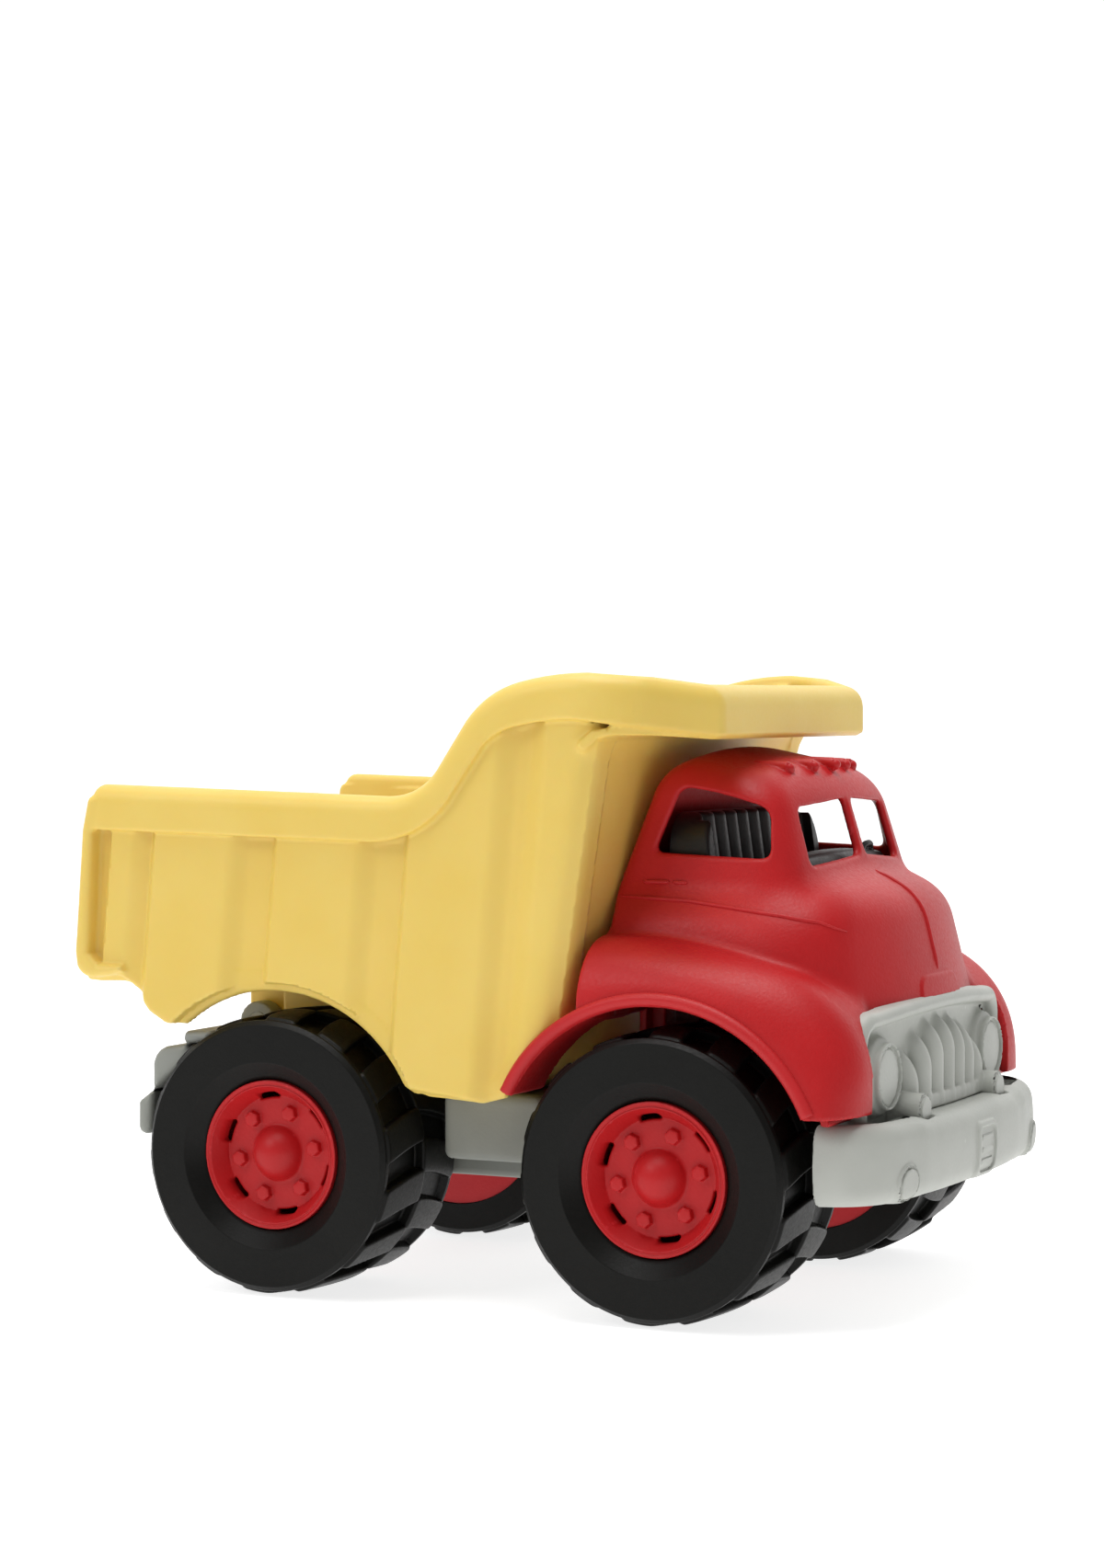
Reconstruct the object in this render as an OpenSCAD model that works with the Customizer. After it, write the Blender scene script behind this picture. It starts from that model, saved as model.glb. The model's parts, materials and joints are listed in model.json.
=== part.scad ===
// Toy dump truck with a tipping bed, four free-rolling wheels and a two-colour cab.
// Frame: +X is the truck's front, +Y its left side, +Z up. Origin on the ground, mid-length.

/* [Wheels] */
// Distance between the two axles
wheelbase = 126.1; // [120:0.1:132]
// How far the midpoint of the axles lies behind the middle of the truck
axle_shift = 2.15; // [0:0.05:4]
// Radius over the tread lugs, which is also the axle height
wheel_r = 42.5; // [40:0.5:44]
// Width of a tyre
tyre_w = 46.6; // [40:0.2:47]
// Outer face of a tyre, from the centre plane
track_half = 86.2; // [84:0.2:90]
// Radius of the wheel's red centre
rim_r = 22.8; // [20:0.2:25]
// Number of tread lugs around a tyre
lugs = 14; // [10:1:20]
// Radius of an axle
axle_r = 4.3; // [3:0.1:6]

/* [Bed] */
// Outer face of the bed's rim, from the centre plane
rim_half = 85; // [82:0.5:86]
// Outer face of the bed's recessed wall, from the centre plane
wall_half = 79.4; // [77:0.2:81]
// How far the wall panels stand out from the recessed wall
panel_out = 1.5; // [0.5:0.1:2.5]
// Height of the rim band
band_h = 13.6; // [10:0.2:16]
// Wall thickness of the bed
bed_t = 2.6; // [2:0.1:4]
// Top of the rim at the rear end
rim_rear_z = 153.7; // [150:0.1:156]
// Highest point of the rim
rim_peak_z = 187.5; // [184:0.1:190]
// Half width of the canopy's front bar
canopy_half = 57; // [50:1:64]

/* [Hinge] */
// Height of the bed's pivot
pivot_z = 77; // [75:0.5:79]
// Pivot's distance from the middle of the truck, towards the rear
pivot_back = 100; // [98:0.5:102]
// Radius of a hinge pin
pin_r = 3; // [2:0.1:4]

/* [Cab] */
// Top of the cab roof
roof_z = 165.4; // [162:0.2:166]
// Half width of the cab at the belt line
belt_half = 58; // [54:0.5:60]
// Wall thickness of the cab
cab_t = 2.6; // [2:0.1:4]
// Radius of the front wheel arch
arch_r = 49.6; // [48:0.2:51]

/* [Front] */
// Half width of the bumper
bumper_half = 83; // [78:0.5:85]
// Bottom of the bumper
bumper_z0 = 36.5; // [34:0.5:40]
// Top of the bumper
bumper_z1 = 59; // [56:0.5:62]

/* [Hidden] */

red = "#B5292E";
yellow = "#EBD277";
grey = "#A9ABA6";
black = "#1B1B18";

front_x = wheelbase / 2 - axle_shift;
rear_x = -wheelbase / 2 - axle_shift;
tyre_in = track_half - tyre_w;
running = 0.06;
round_fn = 96;
pivot_x = -pivot_back;

// Wheel details
lug_base_r = wheel_r - 3.6;
lip_in = 3.2;
dish_depth = 8.6;
hub_back = 18;
axle_end = track_half - dish_depth - 5;

// Bed outline stations along X
bed_rear_x = -133.95;
rim_rear_x = -128.9;
rise_x = -25.5;
rise_z = 151.1;
canopy_x = 72.3;
floor_z = 95.5;
well_z = 65;
bed_arch_r = 49.4;
fender_gap_r = 53;

// ---- outline helpers ----

// Points of an arc about [cx, cz] from angle a0 to a1
function arc(cx, cz, r, a0, a1, n = 8) =
    [for (i = [0:n]) let (a = a0 + (a1 - a0) * i / n) [cx + r * cos(a), cz + r * sin(a)]];

function unit(v) = v / norm(v);

// One corner of an outline, replaced by an arc of radius r
function corner(a, b, c, r, n) =
    let (u = unit(a - b), v = unit(c - b), half = acos(u * v) / 2)
    let (t = min(r / tan(half), norm(a - b) / 2.01, norm(c - b) / 2.01))
    let (p = b + u * t, q = b + v * t, m = b + unit(u + v) * (t / cos(half)))
    let (rad = norm(p - m), a0 = atan2(p[1] - m[1], p[0] - m[0]), a1 = atan2(q[1] - m[1], q[0] - m[0]))
    let (d = a1 - a0, sweep = d > 180 ? d - 360 : d < -180 ? d + 360 : d)
    [for (i = [0:n]) m + rad * [cos(a0 + sweep * i / n), sin(a0 + sweep * i / n)]];

// A closed outline with all corners rounded
function rounded(pts, r, n = 5) =
    let (k = len(pts))
    [for (i = [0:k - 1]) each corner(pts[(i + k - 1) % k], pts[i], pts[(i + 1) % k], r, n)];

// Extrudes an outline given as [x, z] between two Y planes
module side_plate(y0, y1) {
    translate([0, y1, 0]) rotate([90, 0, 0]) linear_extrude(y1 - y0) children();
}

// Extrudes an outline given as [y, z] between two X planes
module front_plate(x0, x1) {
    translate([x0, 0, 0]) rotate([90, 0, 90]) linear_extrude(x1 - x0) children();
}

module both_sides() {
    children();
    mirror([0, 1, 0]) children();
}

// A round bar along Y, centred on Y
module cross_bar(x, z, r, len, fn = round_fn) {
    translate([x, len / 2, z]) rotate([90, 0, 0]) cylinder(r = r, h = len, $fn = fn);
}

// ---- wheels ----
// A wheel is drawn with its axis along +Z, its inner face at 0 and its outer face at tyre_w.

tyre_section = [
    [rim_r, tyre_w - 9], [rim_r, tyre_w - 4.4], [28.2, tyre_w], [39.6, tyre_w], [40.8, tyre_w - 1.2],
    [40.8, tyre_w - 2.6], [lug_base_r, tyre_w - 4], [lug_base_r, 4], [40.8, 2.6], [40.8, 1.2], [39.6, 0],
    [31, 0], [31, 2.8], [lug_base_r - 2.6, 4.6], [lug_base_r - 2.6, tyre_w - 4.6],
    [28.9, tyre_w - 2.8], [rim_r + 2.4, tyre_w - 5.6], [rim_r + 2.4, tyre_w - 9]];

// One tread lug from the shoulder to the middle of the tread, slanted along the tread
module lug(turn, z0, z1, slant) {
    width = 2 * PI * wheel_r / lugs * 0.5;
    rotate([0, 0, turn]) translate([lug_base_r - 0.6, 0, 0])
        rotate([90, 0, 90]) linear_extrude(8)
        polygon([[-width / 2, z0], [width / 2, z0], [width / 2 + slant, z1], [-width / 2 + slant, z1]]);
}

module lug_row() {
    step = 360 / lugs;
    mid = tyre_w / 2;
    intersection() {
        difference() {
            cylinder(r = wheel_r, h = tyre_w, $fn = round_fn);
            translate([0, 0, -1]) cylinder(r = lug_base_r - 0.3, h = tyre_w + 2, $fn = round_fn);
        }
        union() {
            for (i = [0:lugs - 1]) {
                lug(i * step, mid - 0.5, tyre_w - 1.6, -3.5);
                lug((i + 0.5) * step, 1.6, mid + 0.5, 3.5);
            }
        }
    }
}

module tyre() {
    color(black) {
        rotate_extrude($fn = round_fn) polygon(tyre_section);
        lug_row();
    }
}

rim_section = [
    [0, tyre_w - dish_depth], [17.6, tyre_w - dish_depth], [21, tyre_w - lip_in], [rim_r - 0.4, tyre_w - lip_in],
    [rim_r - 0.05, tyre_w - lip_in - 0.6], [rim_r - 0.05, hub_back], [rim_r - 2.6, hub_back],
    [rim_r - 2.6, tyre_w - 10], [16.6, tyre_w - dish_depth - 2.4], [8, tyre_w - dish_depth - 2.4],
    [8, hub_back + 4], [0, hub_back + 4]];

module rim_slots() {
    for (i = [0:5]) rotate([0, 0, 60 * i + 10]) translate([17.9, 0, tyre_w - 14]) linear_extrude(12) {
        square([1.8, 4], center = true);
        for (s = [-1, 1]) translate([0, 2 * s]) circle(r = 0.9, $fn = 24);
    }
}

module rim() {
    floor_w = tyre_w - dish_depth;
    color(red) {
        difference() {
            rotate_extrude($fn = round_fn) polygon(rim_section);
            rim_slots();
            cylinder(r = axle_r, h = axle_end - tyre_in, $fn = 48);
        }
        for (i = [0:5]) rotate([0, 0, 60 * i + 40]) translate([13, 0, floor_w - 0.2])
            cylinder(d = 4.6, h = 2.6, $fn = 6);
        difference() {
            translate([0, 0, floor_w - 1.4]) sphere(r = 8.4, $fn = 64);
            translate([0, 0, floor_w - 20.3]) cylinder(r = 12, h = 20);
        }
    }
}

inner_hub_section = [[axle_r, 0.6], [30.9, 0.6], [30.9, 2.8], [9, 4.4], [9, hub_back - 1], [axle_r, hub_back - 1]];

module inner_hub() {
    color(red) rotate_extrude($fn = round_fn) polygon(inner_hub_section);
}

// Puts a wheel piece on its axle: side 1 is the truck's left, -1 its right
module on_axle(x, side) {
    translate([x, side * tyre_in, wheel_r]) rotate([-90 * side, 0, 0]) rotate([0, 0, 90]) children();
}

module axle(x) {
    color(grey) cross_bar(x, wheel_r, axle_r, 2 * axle_end, 48);
}

// ---- chassis ----

tub_half = 36;
tub_x0 = -104;
tub_x1 = 107.4;
tub_z0 = 33;
tub_z1 = 60;
box_x0 = -18.6;
box_x1 = 14.9;
box_half = 60;
box_z0 = 41;
box_z1 = 61.7;
ear_in = 24.9;
ear_out = 31;

tub_outline = [[tub_x0, tub_z0 + 14], [tub_x0 + 20, tub_z0], [tub_x1 - 14, tub_z0], [tub_x1, tub_z0 + 6],
    [tub_x1, tub_z1], [tub_x0, tub_z1]];
mudguard_outline = [[-94, 78.4], [-99, 78], [-108, 74.4], [-112.8, 68], [-113.7, 50], [-112.4, 46.6], [-110, 46],
    [-108.8, 48], [-108.4, 60], [-105.8, 68], [-101, 72.9], [-97, 74.8], [-94, 76.2]];

module tub() {
    wall = 2.6;
    difference() {
        side_plate(-tub_half, tub_half) polygon(tub_outline);
        translate([tub_x0 + wall, -tub_half + wall, 0])
            cube([tub_x1 - tub_x0 - 2 * wall, 2 * (tub_half - wall), tub_z1 - wall]);
    }
    for (x = [-84, -40, 0, 38, 84]) translate([x - 1.2, -tub_half + 1, 45])
        cube([2.4, 2 * tub_half - 2, tub_z1 - 46]);
}

module side_box() {
    wall = 2.4;
    difference() {
        translate([box_x0, tub_half - 1, box_z0]) cube([box_x1 - box_x0, box_half - tub_half + 1, box_z1 - box_z0]);
        translate([box_x0 + wall, tub_half, box_z0 - 1])
            cube([box_x1 - box_x0 - 2 * wall, box_half - tub_half - wall, box_z1 - box_z0 + 1 - wall]);
    }
}

module axle_boss(x) {
    translate([x, 24, wheel_r]) rotate([-90, 0, 0]) cylinder(r = 8.5, h = tyre_in - 0.6 - 24, $fn = round_fn);
}

module hinge_ear() {
    difference() {
        union() {
            side_plate(ear_in, ear_out)
                polygon([[pivot_x - 4, 50], [pivot_x + 16, 50], [pivot_x + 6.4, pivot_z], [pivot_x - 6.4, pivot_z]]);
            translate([pivot_x, ear_in, pivot_z]) rotate([-90, 0, 0])
                cylinder(r = 6.4, h = ear_out - ear_in, $fn = round_fn);
        }
        cross_bar(pivot_x, pivot_z, pin_r, 200, 48);
    }
}

module mudguard() {
    side_plate(ear_out - 1, 80.6) polygon(mudguard_outline);
    side_plate(ear_out - 1, tub_half) polygon([[-108.6, 56], [-96, 56], [-94, 75.5], [-101, 74], [-108.4, 64]]);
}

module chassis_frame() {
    color(grey) difference() {
        union() {
            tub();
            both_sides() {
                side_box();
                axle_boss(front_x);
                axle_boss(rear_x);
                hinge_ear();
                mudguard();
            }
        }
        cross_bar(front_x, wheel_r, axle_r + running, 200, 48);
        cross_bar(rear_x, wheel_r, axle_r + running, 200, 48);
    }
}

module hinge_pins() {
    color(grey) both_sides() translate([pivot_x, 13.5, pivot_z]) rotate([-90, 0, 0])
        cylinder(r = pin_r, h = ear_out - 13.5, $fn = 48);
}

// ---- bed ----

// A curve that rises from the level rim to the crest in three tangent arcs, as [x, z].
// It starts level at start, turns up through climb degrees, and ends level at the crest.
function rise_curve(start, crest, r_foot, r_shoulder, r_crown, climb, ease = 14) =
    let (crown = crest - [0, r_crown])
    let (shoulder = crown + (r_crown - r_shoulder) * [cos(90 + ease), sin(90 + ease)])
    concat(arc(start[0], start[1] + r_foot, r_foot, -90, climb - 90, 6),
        arc(shoulder[0], shoulder[1], r_shoulder, 90 + climb, 90 + ease, 6),
        arc(crown[0], crown[1], r_crown, 90 + ease, 90, 4));

// Upper edge of the rim, from the rear to the canopy's front, as [x, z]
rim_top = concat(
    [[rim_rear_x, rim_rear_z]],
    rise_curve([rise_x, rise_z], [38.8, rim_peak_z], 20, 30, 90, 53),
    [[54, 186], [canopy_x - 2, 182.8], [canopy_x + 1, 182.5]]);

// Lower edge of the rim band, from the rear to the canopy's front
rim_low = concat(
    [[rim_rear_x, rim_rear_z - band_h]],
    rise_curve([rise_x - 4.5, rise_z - band_h], [36, rim_peak_z - band_h], 33, 19, 80, 50),
    [[54, 171.5], [canopy_x + 1, 168.2]]);

function reversed(pts) = [for (i = [len(pts) - 1:-1:0]) pts[i]];

// The wall's outline below the rim: rear edge, hinge cut, wheel arch, front well, fender cut.
// The round arch itself is cut by arch_clearance().
wall_outline = concat(
    [[-126, 141], [-127, 94.4], [-120.5, 94.2], [-115.4, 92], [-108.6, 84], [-102.8, 80.6], [-97, 80.4]],
    arc(rear_x, wheel_r, bed_arch_r - 2, 127, 27, 16),
    [[-18.7, 64.4], [6, 61.9], [11.4, 63.4]],
    arc(front_x, wheel_r, fender_gap_r, 157, 120, 6),
    [[31.6, 100], [42.4, 172], [42.4, 184]]);

// Plan of the bed at the rim, set in by d
function plan(d) = let (half = [[-140, rim_half - d], [38 - d / 3, rim_half - d], [49 - d * 0.5, rim_half - 5.5 - d],
    [canopy_x - 8 - d * 0.8, canopy_half + 8 - d], [canopy_x - 2.4 - d, canopy_half - d * 0.8],
    [canopy_x - d, canopy_half - 7]])
    concat(half, [for (p = reversed(half)) [p[0], -p[1]]]);

module plan_prism(d, z0, z1) {
    translate([0, 0, z0]) linear_extrude(z1 - z0) polygon(plan(d));
}

// The lip that runs round the top: a flange with a skirt hanging from its outer edge
module rim_band() {
    inner_d = rim_half - wall_half + bed_t;
    difference() {
        intersection() {
            side_plate(-100, 100) polygon(concat(rim_top, reversed(rim_low)));
            plan_prism(0, 120, 200);
        }
        plan_prism(inner_d, 100, 210);
        intersection() {
            difference() {
                plan_prism(bed_t, 100, 210);
                plan_prism(inner_d - bed_t, 90, 220);
            }
            translate([0, 0, -bed_t]) side_plate(-100, 100) polygon(concat(rim_top, [[90, 100], [-200, 100]]));
        }
    }
}

// Wall panels, which stand out between the recessed valleys, as [x0, x1]
panels = [[-119.5, -112], [-107, -76], [-63.5, -33], [-18.5, 12], [23, 36]];

module bed_side() {
    difference() {
        side_plate(wall_half - bed_t, wall_half) polygon(concat(wall_outline, rim_above_wall));
        arch_clearance();
    }
    for (p = panels) intersection() {
        side_plate(wall_half - 0.5, wall_half + panel_out) polygon([
            [p[0], 60], [p[1], 60], [p[1] + 4, 185], [p[0], 185]]);
        difference() {
            side_plate(wall_half - 1, wall_half + panel_out) polygon(concat(wall_outline, rim_above_wall));
            arch_clearance();
            cross_bar(rear_x, wheel_r, bed_arch_r + 2.4, 200);
        }
    }
}

// The wall runs up to the rim's flange along this line
rim_above_wall = [for (p = reversed(rim_top)) if (p[0] < 40) p - [0, 1]];

module arch_clearance() {
    cross_bar(rear_x, wheel_r, bed_arch_r, 200);
}

module rear_flange() {
    side_plate(wall_half - bed_t, rim_half) polygon([
        [rim_rear_x, rim_rear_z - 1], [-133.5, 107], [bed_rear_x, 102], [-132.4, 96.8], [-129.6, 93.9],
        [-122, 94.6], [-122, 97.2], [-127, 98], [-126, 142], [-124, rim_rear_z - 2]]);
}

// Floor: flat over the wheels, down behind them into the front well, then up the front wall
floor_path = concat(
    [[-131, floor_z]], arc(rear_x, wheel_r, floor_z - wheel_r, 90, 31, 12),
    [[-17, well_z], [7, well_z], [16.9, 76.5], [27.2, 88.2], [29.4, 102], [39.4, 170], [41, 173.6]]);
canopy_path = [[38.6, 168.6], [44, 171.4], [54, 172], [canopy_x - 1, 170.8]];

// Offset from a path's upper line to its underside at point i
function under_drop(path, i) =
    let (n = len(path), t = unit(path[min(i + 1, n - 1)] - path[max(i - 1, 0)]))
    bed_t * [t[1], -t[0]];

module bent_sheet(path, half) {
    side_plate(-half, half)
        polygon(concat(path, [for (i = [len(path) - 1:-1:0]) path[i] + under_drop(path, i)]));
}

module bed_lug() {
    difference() {
        union() {
            side_plate(15, 24.5) polygon([[pivot_x - 6.6, floor_z - 1], [pivot_x - 6.6, pivot_z],
                [pivot_x + 6.6, pivot_z], [pivot_x + 12, floor_z - 1]]);
            translate([pivot_x, 15, pivot_z]) rotate([-90, 0, 0]) cylinder(r = 6.6, h = 9.5, $fn = round_fn);
        }
        cross_bar(pivot_x, pivot_z, pin_r + running, 200, 48);
    }
}

module dump_bed() {
    color(yellow) {
        bent_sheet(floor_path, wall_half - 1);
        intersection() {
            bent_sheet(canopy_path, rim_half);
            plan_prism(bed_t - 1, 150, 200);
        }
        rim_band();
        both_sides() {
            bed_side();
            rear_flange();
            bed_lug();
        }
    }
}

// ---- cab ----

// A rounded solid through balls at the given [x, half y, z, radius], shrunk by t
module ball_hull(balls, t) {
    hull() for (b = balls, s = [-1, 1])
        translate([b[0], s * b[1], b[2]]) sphere(r = b[3] - t, $fn = 28);
}

house_balls = [[48.5, 42, 124, 11], [84, 43, 124, 11], [53, 40.5, 139, 9], [80, 42, 139, 8],
    [65, 29, roof_z - 10, 10], [78, 27, roof_z - 11.4, 10], [87, 7, 120, 11.5], [81.6, 6, roof_z - 11.4, 10.4]];
body_balls = [[49.6, 47.5, 112, 12], [48.7, 49, 62, 11], [90, 46.5, 113, 12], [102, 34, 110.6, 12.4],
    [105.4, 43, 66, 11], [107.2, 8, 109, 13.6], [110.6, 6, 70, 12.8]];
fender_balls = [[49, 62, 93, 17], [70, 63, 91, 17], [88, 64, 85, 16], [99, 64, 74, 14], [103.4, 64, 62, 12]];

module fender() {
    hull() {
        for (b = fender_balls) translate([b[0], b[1], b[2]]) sphere(r = b[3], $fn = 32);
        translate([front_x, 84.4, wheel_r]) rotate([90, 0, 0]) cylinder(r = arch_r + 2, h = 3, $fn = 64);
        translate([front_x, 60, wheel_r]) rotate([90, 0, 0]) cylinder(r = arch_r + 4, h = 3, $fn = 64);
    }
}

side_window = rounded([[53, 153], [76.5, 151.4], [82.4, 146], [83.6, 133], [46, 134]], 3);
pane = rounded([[2.3, 149.8], [35.6, 147.8], [36.4, 130.6], [2.4, 133]], 3);

module cab_outer() {
    ball_hull(house_balls, 0);
    ball_hull(body_balls, 0);
    both_sides() fender();
}

module cab_inner() {
    ball_hull(house_balls, cab_t);
    ball_hull(body_balls, cab_t);
    both_sides() {
        translate([front_x, 82, wheel_r]) rotate([90, 0, 0]) cylinder(r = arch_r, h = 44, $fn = 64);
        translate([52, 60, 90]) rotate([0, 90, 0]) cylinder(r = 11, h = 34, $fn = 48);
    }
}

// Everything below the shell's lower edge and behind its rear face
module cab_trim() {
    translate([-60, -100, -60]) cube([240, 200, 122]);
    translate([-60, -100, 0]) cube([96.6, 200, 200]);
    front_plate(112.6, 140) polygon(surround(-0.3));
}

module marker_lamps() {
    for (i = [-2:2]) translate([86.6 - abs(i) * 0.9, i * 10, 160.4 - abs(i) * 0.5])
        rotate([0, 78, 0]) cylinder(r1 = 1.5, r2 = 2.6, h = 5.5, $fn = 32);
}

// The strip of fender that follows the arch down behind the front wheel
module arch_tail() {
    difference() {
        translate([front_x, 84.4, wheel_r]) rotate([90, 0, 0]) cylinder(r = arch_r + 2.6, h = 22, $fn = 128);
        translate([front_x, 100, wheel_r]) rotate([90, 0, 0]) cylinder(r = arch_r, h = 50, $fn = 128);
        translate([38, 50, -20]) cube([100, 50, 140]);
        translate([-20, 50, -20]) cube([100, 50, 84.6]);
    }
}

// Posts by which the cab shell stands on the chassis
module cab_post() {
    translate([38.4, 26, tub_z1]) cube([5, 8, 56]);
    translate([100, 26, tub_z1]) cube([5, 8, 61.6]);
}

module door_handle() {
    translate([46, belt_half - 8, 124.6]) cube([13, 5, 1.8]);
}

module cab_shell() {
    color(red) {
        difference() {
            cab_outer();
            cab_inner();
            both_sides() {
                side_plate(30, 70) polygon(side_window);
                front_plate(80, 120) polygon(pane);
                translate([front_x, 100, wheel_r]) rotate([90, 0, 0]) cylinder(r = arch_r, h = 50, $fn = 128);
            }
            cab_trim();
        }
        marker_lamps();
        both_sides() {
            door_handle();
            cab_post();
            arch_tail();
        }
    }
}

// Tray floor on four legs that stand on the chassis, with the dashboard and the steering wheel
module interior_tray() {
    color(black) {
        translate([44, -43, 115]) cube([50.5, 86, 2.6]);
        for (x = [54, 88], y = [-24, 24]) translate([x, y, tub_z1]) cylinder(r = 3.6, h = 56, $fn = 32);
        front_plate(84, 91.4) polygon(rounded([[-40, 116], [40, 116], [39, 128.5], [0, 131], [-39, 128.5]], 2));
        translate([81.6, 21, 130]) rotate([0, -62, 0]) difference() {
            cylinder(r = 7, h = 1.6, center = true, $fn = 48);
            for (a = [30, 150, 270]) rotate([0, 0, a]) translate([3.9, 0, 0])
                cylinder(r = 2, h = 4, center = true, $fn = 24);
        }
        translate([85.6, 21, 127.9]) rotate([0, -62, 0]) cylinder(r = 1.6, h = 9, center = true, $fn = 24);
    }
}

// Bench seat: a cushion, and a reclined back in upright panels between two end bolsters
seat_half = 41;
seat_panel = 9;
seat_outline = rounded([[-seat_half, 100], [-seat_half, 137], [-35, 145.6], [35, 145.6],
    [seat_half, 137], [seat_half, 100]], 4);

module seat_bench() {
    color(black) {
        translate([54, -38, 117.6]) cube([22, 76, 5]);
        intersection() {
            union() {
                difference() {
                    side_plate(-seat_half, seat_half)
                        polygon([[56.6, 117.6], [62.6, 117.6], [58.6, 145.6], [52.6, 145.6]]);
                    for (i = [-3.5:3.5]) side_plate(i * seat_panel - 0.5, i * seat_panel + 0.5)
                        polygon([[60.6, 124], [70, 124], [70, 147], [57.4, 147]]);
                }
                both_sides() side_plate(seat_half - 5, seat_half)
                    polygon([[56.6, 117.6], [66, 117.6], [62.4, 141.6], [60, 145.6], [52.6, 145.6]]);
            }
            front_plate(40, 80) polygon(seat_outline);
        }
    }
}

// ---- front end ----

// Plan of the bumper's front face, as [y, x], set back by d
function bumper_front(d) = [[0, 133 - d], [30, 132.4 - d], [46, 130.8 - d], [58, 128.4 - d], [69, 124.4 - d],
    [77 - d * 0.4, 118.6 - d * 0.9], [81.6 - d * 0.7, 111.4 - d * 0.4], [bumper_half - d, 107.6]];

module front_bumper() {
    plate_w = 17;
    color(grey) {
        difference() {
            union() {
                translate([0, 0, bumper_z0]) linear_extrude(bumper_z1 - bumper_z0) bumper_outline(0);
                both_sides() translate([122, 56.6, 42]) rotate([0, 90, 0]) cylinder(r = 6, h = 8.8, $fn = 64);
                translate([126, -plate_w / 2, 38]) cube([7.95, plate_w, 17.5]);
            }
            translate([0, 0, bumper_z0 + 2.6]) linear_extrude(bumper_z1 - bumper_z0 - 5.2)
                bumper_outline(2.6, 96);
            translate([100, -61.6, bumper_z1 - 5]) cube([21.9, 123.2, 10]);
            both_sides() translate([112, 33.6, 60.6]) rotate([0, 90, 0]) cylinder(r = 5, h = 15.2, $fn = 64);
            translate([133.2, -plate_w / 2 + 1.6, 39.6]) cube([5, plate_w - 3.2, 14.3]);
            both_sides() translate([130, 56.6, 42]) rotate([0, 90, 0]) difference() {
                cylinder(r = 4.9, h = 9, $fn = 64);
                cylinder(r = 4.5, h = 9, $fn = 64);
            }
        }
        for (y = [-26, 26]) translate([107.6, y - 1.3, 38]) cube([23, 2.6, 15]);
    }
}

// Bumper plan from its front face back to the line x = back
module bumper_outline(d, back = 107.6) {
    pts = bumper_front(d);
    n = len(pts);
    polygon(concat([[back, -pts[n - 1][0]]], [for (i = [n - 1:-1:1]) [pts[i][1], -pts[i][0]]],
        [for (p = pts) [p[1], p[0]]], [[back, pts[n - 1][0]]]));
}

// Outline of the grille surround, as [y, z], set in by d
function surround(d) = rounded([[-61 + d, 56], [-61 + d, 84 - d * 0.6], [-50 + d * 0.6, 88.6 - d], [-20, 90.4 - d], [0, 92.2 - d],
    [20, 90.4 - d], [50 - d * 0.6, 88.6 - d], [61 - d, 84 - d * 0.6], [61 - d, 56]], 7);

// Back of the grille panel, just clear of the cab shell's cut edge
panel_x = 112.9;

module headlight() {
    translate([panel_x, 46.2, 71.4]) rotate([0, 90, 0]) difference() {
        cylinder(r = 9.8, h = 8.1, $fn = 64);
        translate([0, 0, 6.7]) cylinder(r = 8.6, h = 3, $fn = 64);
    }
    translate([panel_x, 46.2, 71.4]) rotate([0, 90, 0]) cylinder(r = 8.1, h = 7.9, $fn = 64);
}

module turn_signal() {
    translate([panel_x, 33.6, 60.6]) rotate([0, 90, 0]) difference() {
        cylinder(r = 4.7, h = 13.9, $fn = 64);
        translate([0, 0, 13.1]) cylinder(r = 3.9, h = 3, $fn = 64);
    }
}

module grille_panel() {
    bars = 7;
    pitch = 7.6;
    color(grey) {
        front_plate(panel_x, 115.4) polygon(surround(0.5));
        difference() {
            front_plate(panel_x, 120) polygon(surround(0));
            front_plate(110, 122) polygon(surround(4.6));
        }
        for (i = [0:bars - 1]) translate([115.4, (i - (bars - 1) / 2) * pitch, 62]) {
            cylinder(r = 3.3, h = 20 - pow(abs(i - (bars - 1) / 2), 2) * 0.3, $fn = 32);
        }
        translate([113, -27, 59.4]) cube([8.6, 54, 4.4]);
        translate([panel_x, -20, bumper_z0 + 2.6]) cube([2.5, 40, 20]);
        both_sides() {
            headlight();
            turn_signal();
        }
    }
}

chassis_frame();
front_bumper();
grille_panel();
cab_shell();
interior_tray();
seat_bench();
dump_bed();
hinge_pins();
axle(front_x);  // front_axle
axle(rear_x);  // rear_axle
on_axle(front_x, -1) tyre();  // tyre_front_right
on_axle(front_x, 1) tyre();  // tyre_front_left
on_axle(rear_x, -1) tyre();  // tyre_rear_right
on_axle(rear_x, 1) tyre();  // tyre_rear_left
on_axle(front_x, -1) rim();  // rim_front_right
on_axle(front_x, 1) rim();  // rim_front_left
on_axle(rear_x, -1) rim();  // rim_rear_right
on_axle(rear_x, 1) rim();  // rim_rear_left
on_axle(front_x, -1) inner_hub();  // inner_hub_front_right
on_axle(front_x, 1) inner_hub();  // inner_hub_front_left
on_axle(rear_x, -1) inner_hub();  // inner_hub_rear_right
on_axle(rear_x, 1) inner_hub();  // inner_hub_rear_left
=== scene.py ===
import functools
import json
import math

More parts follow.
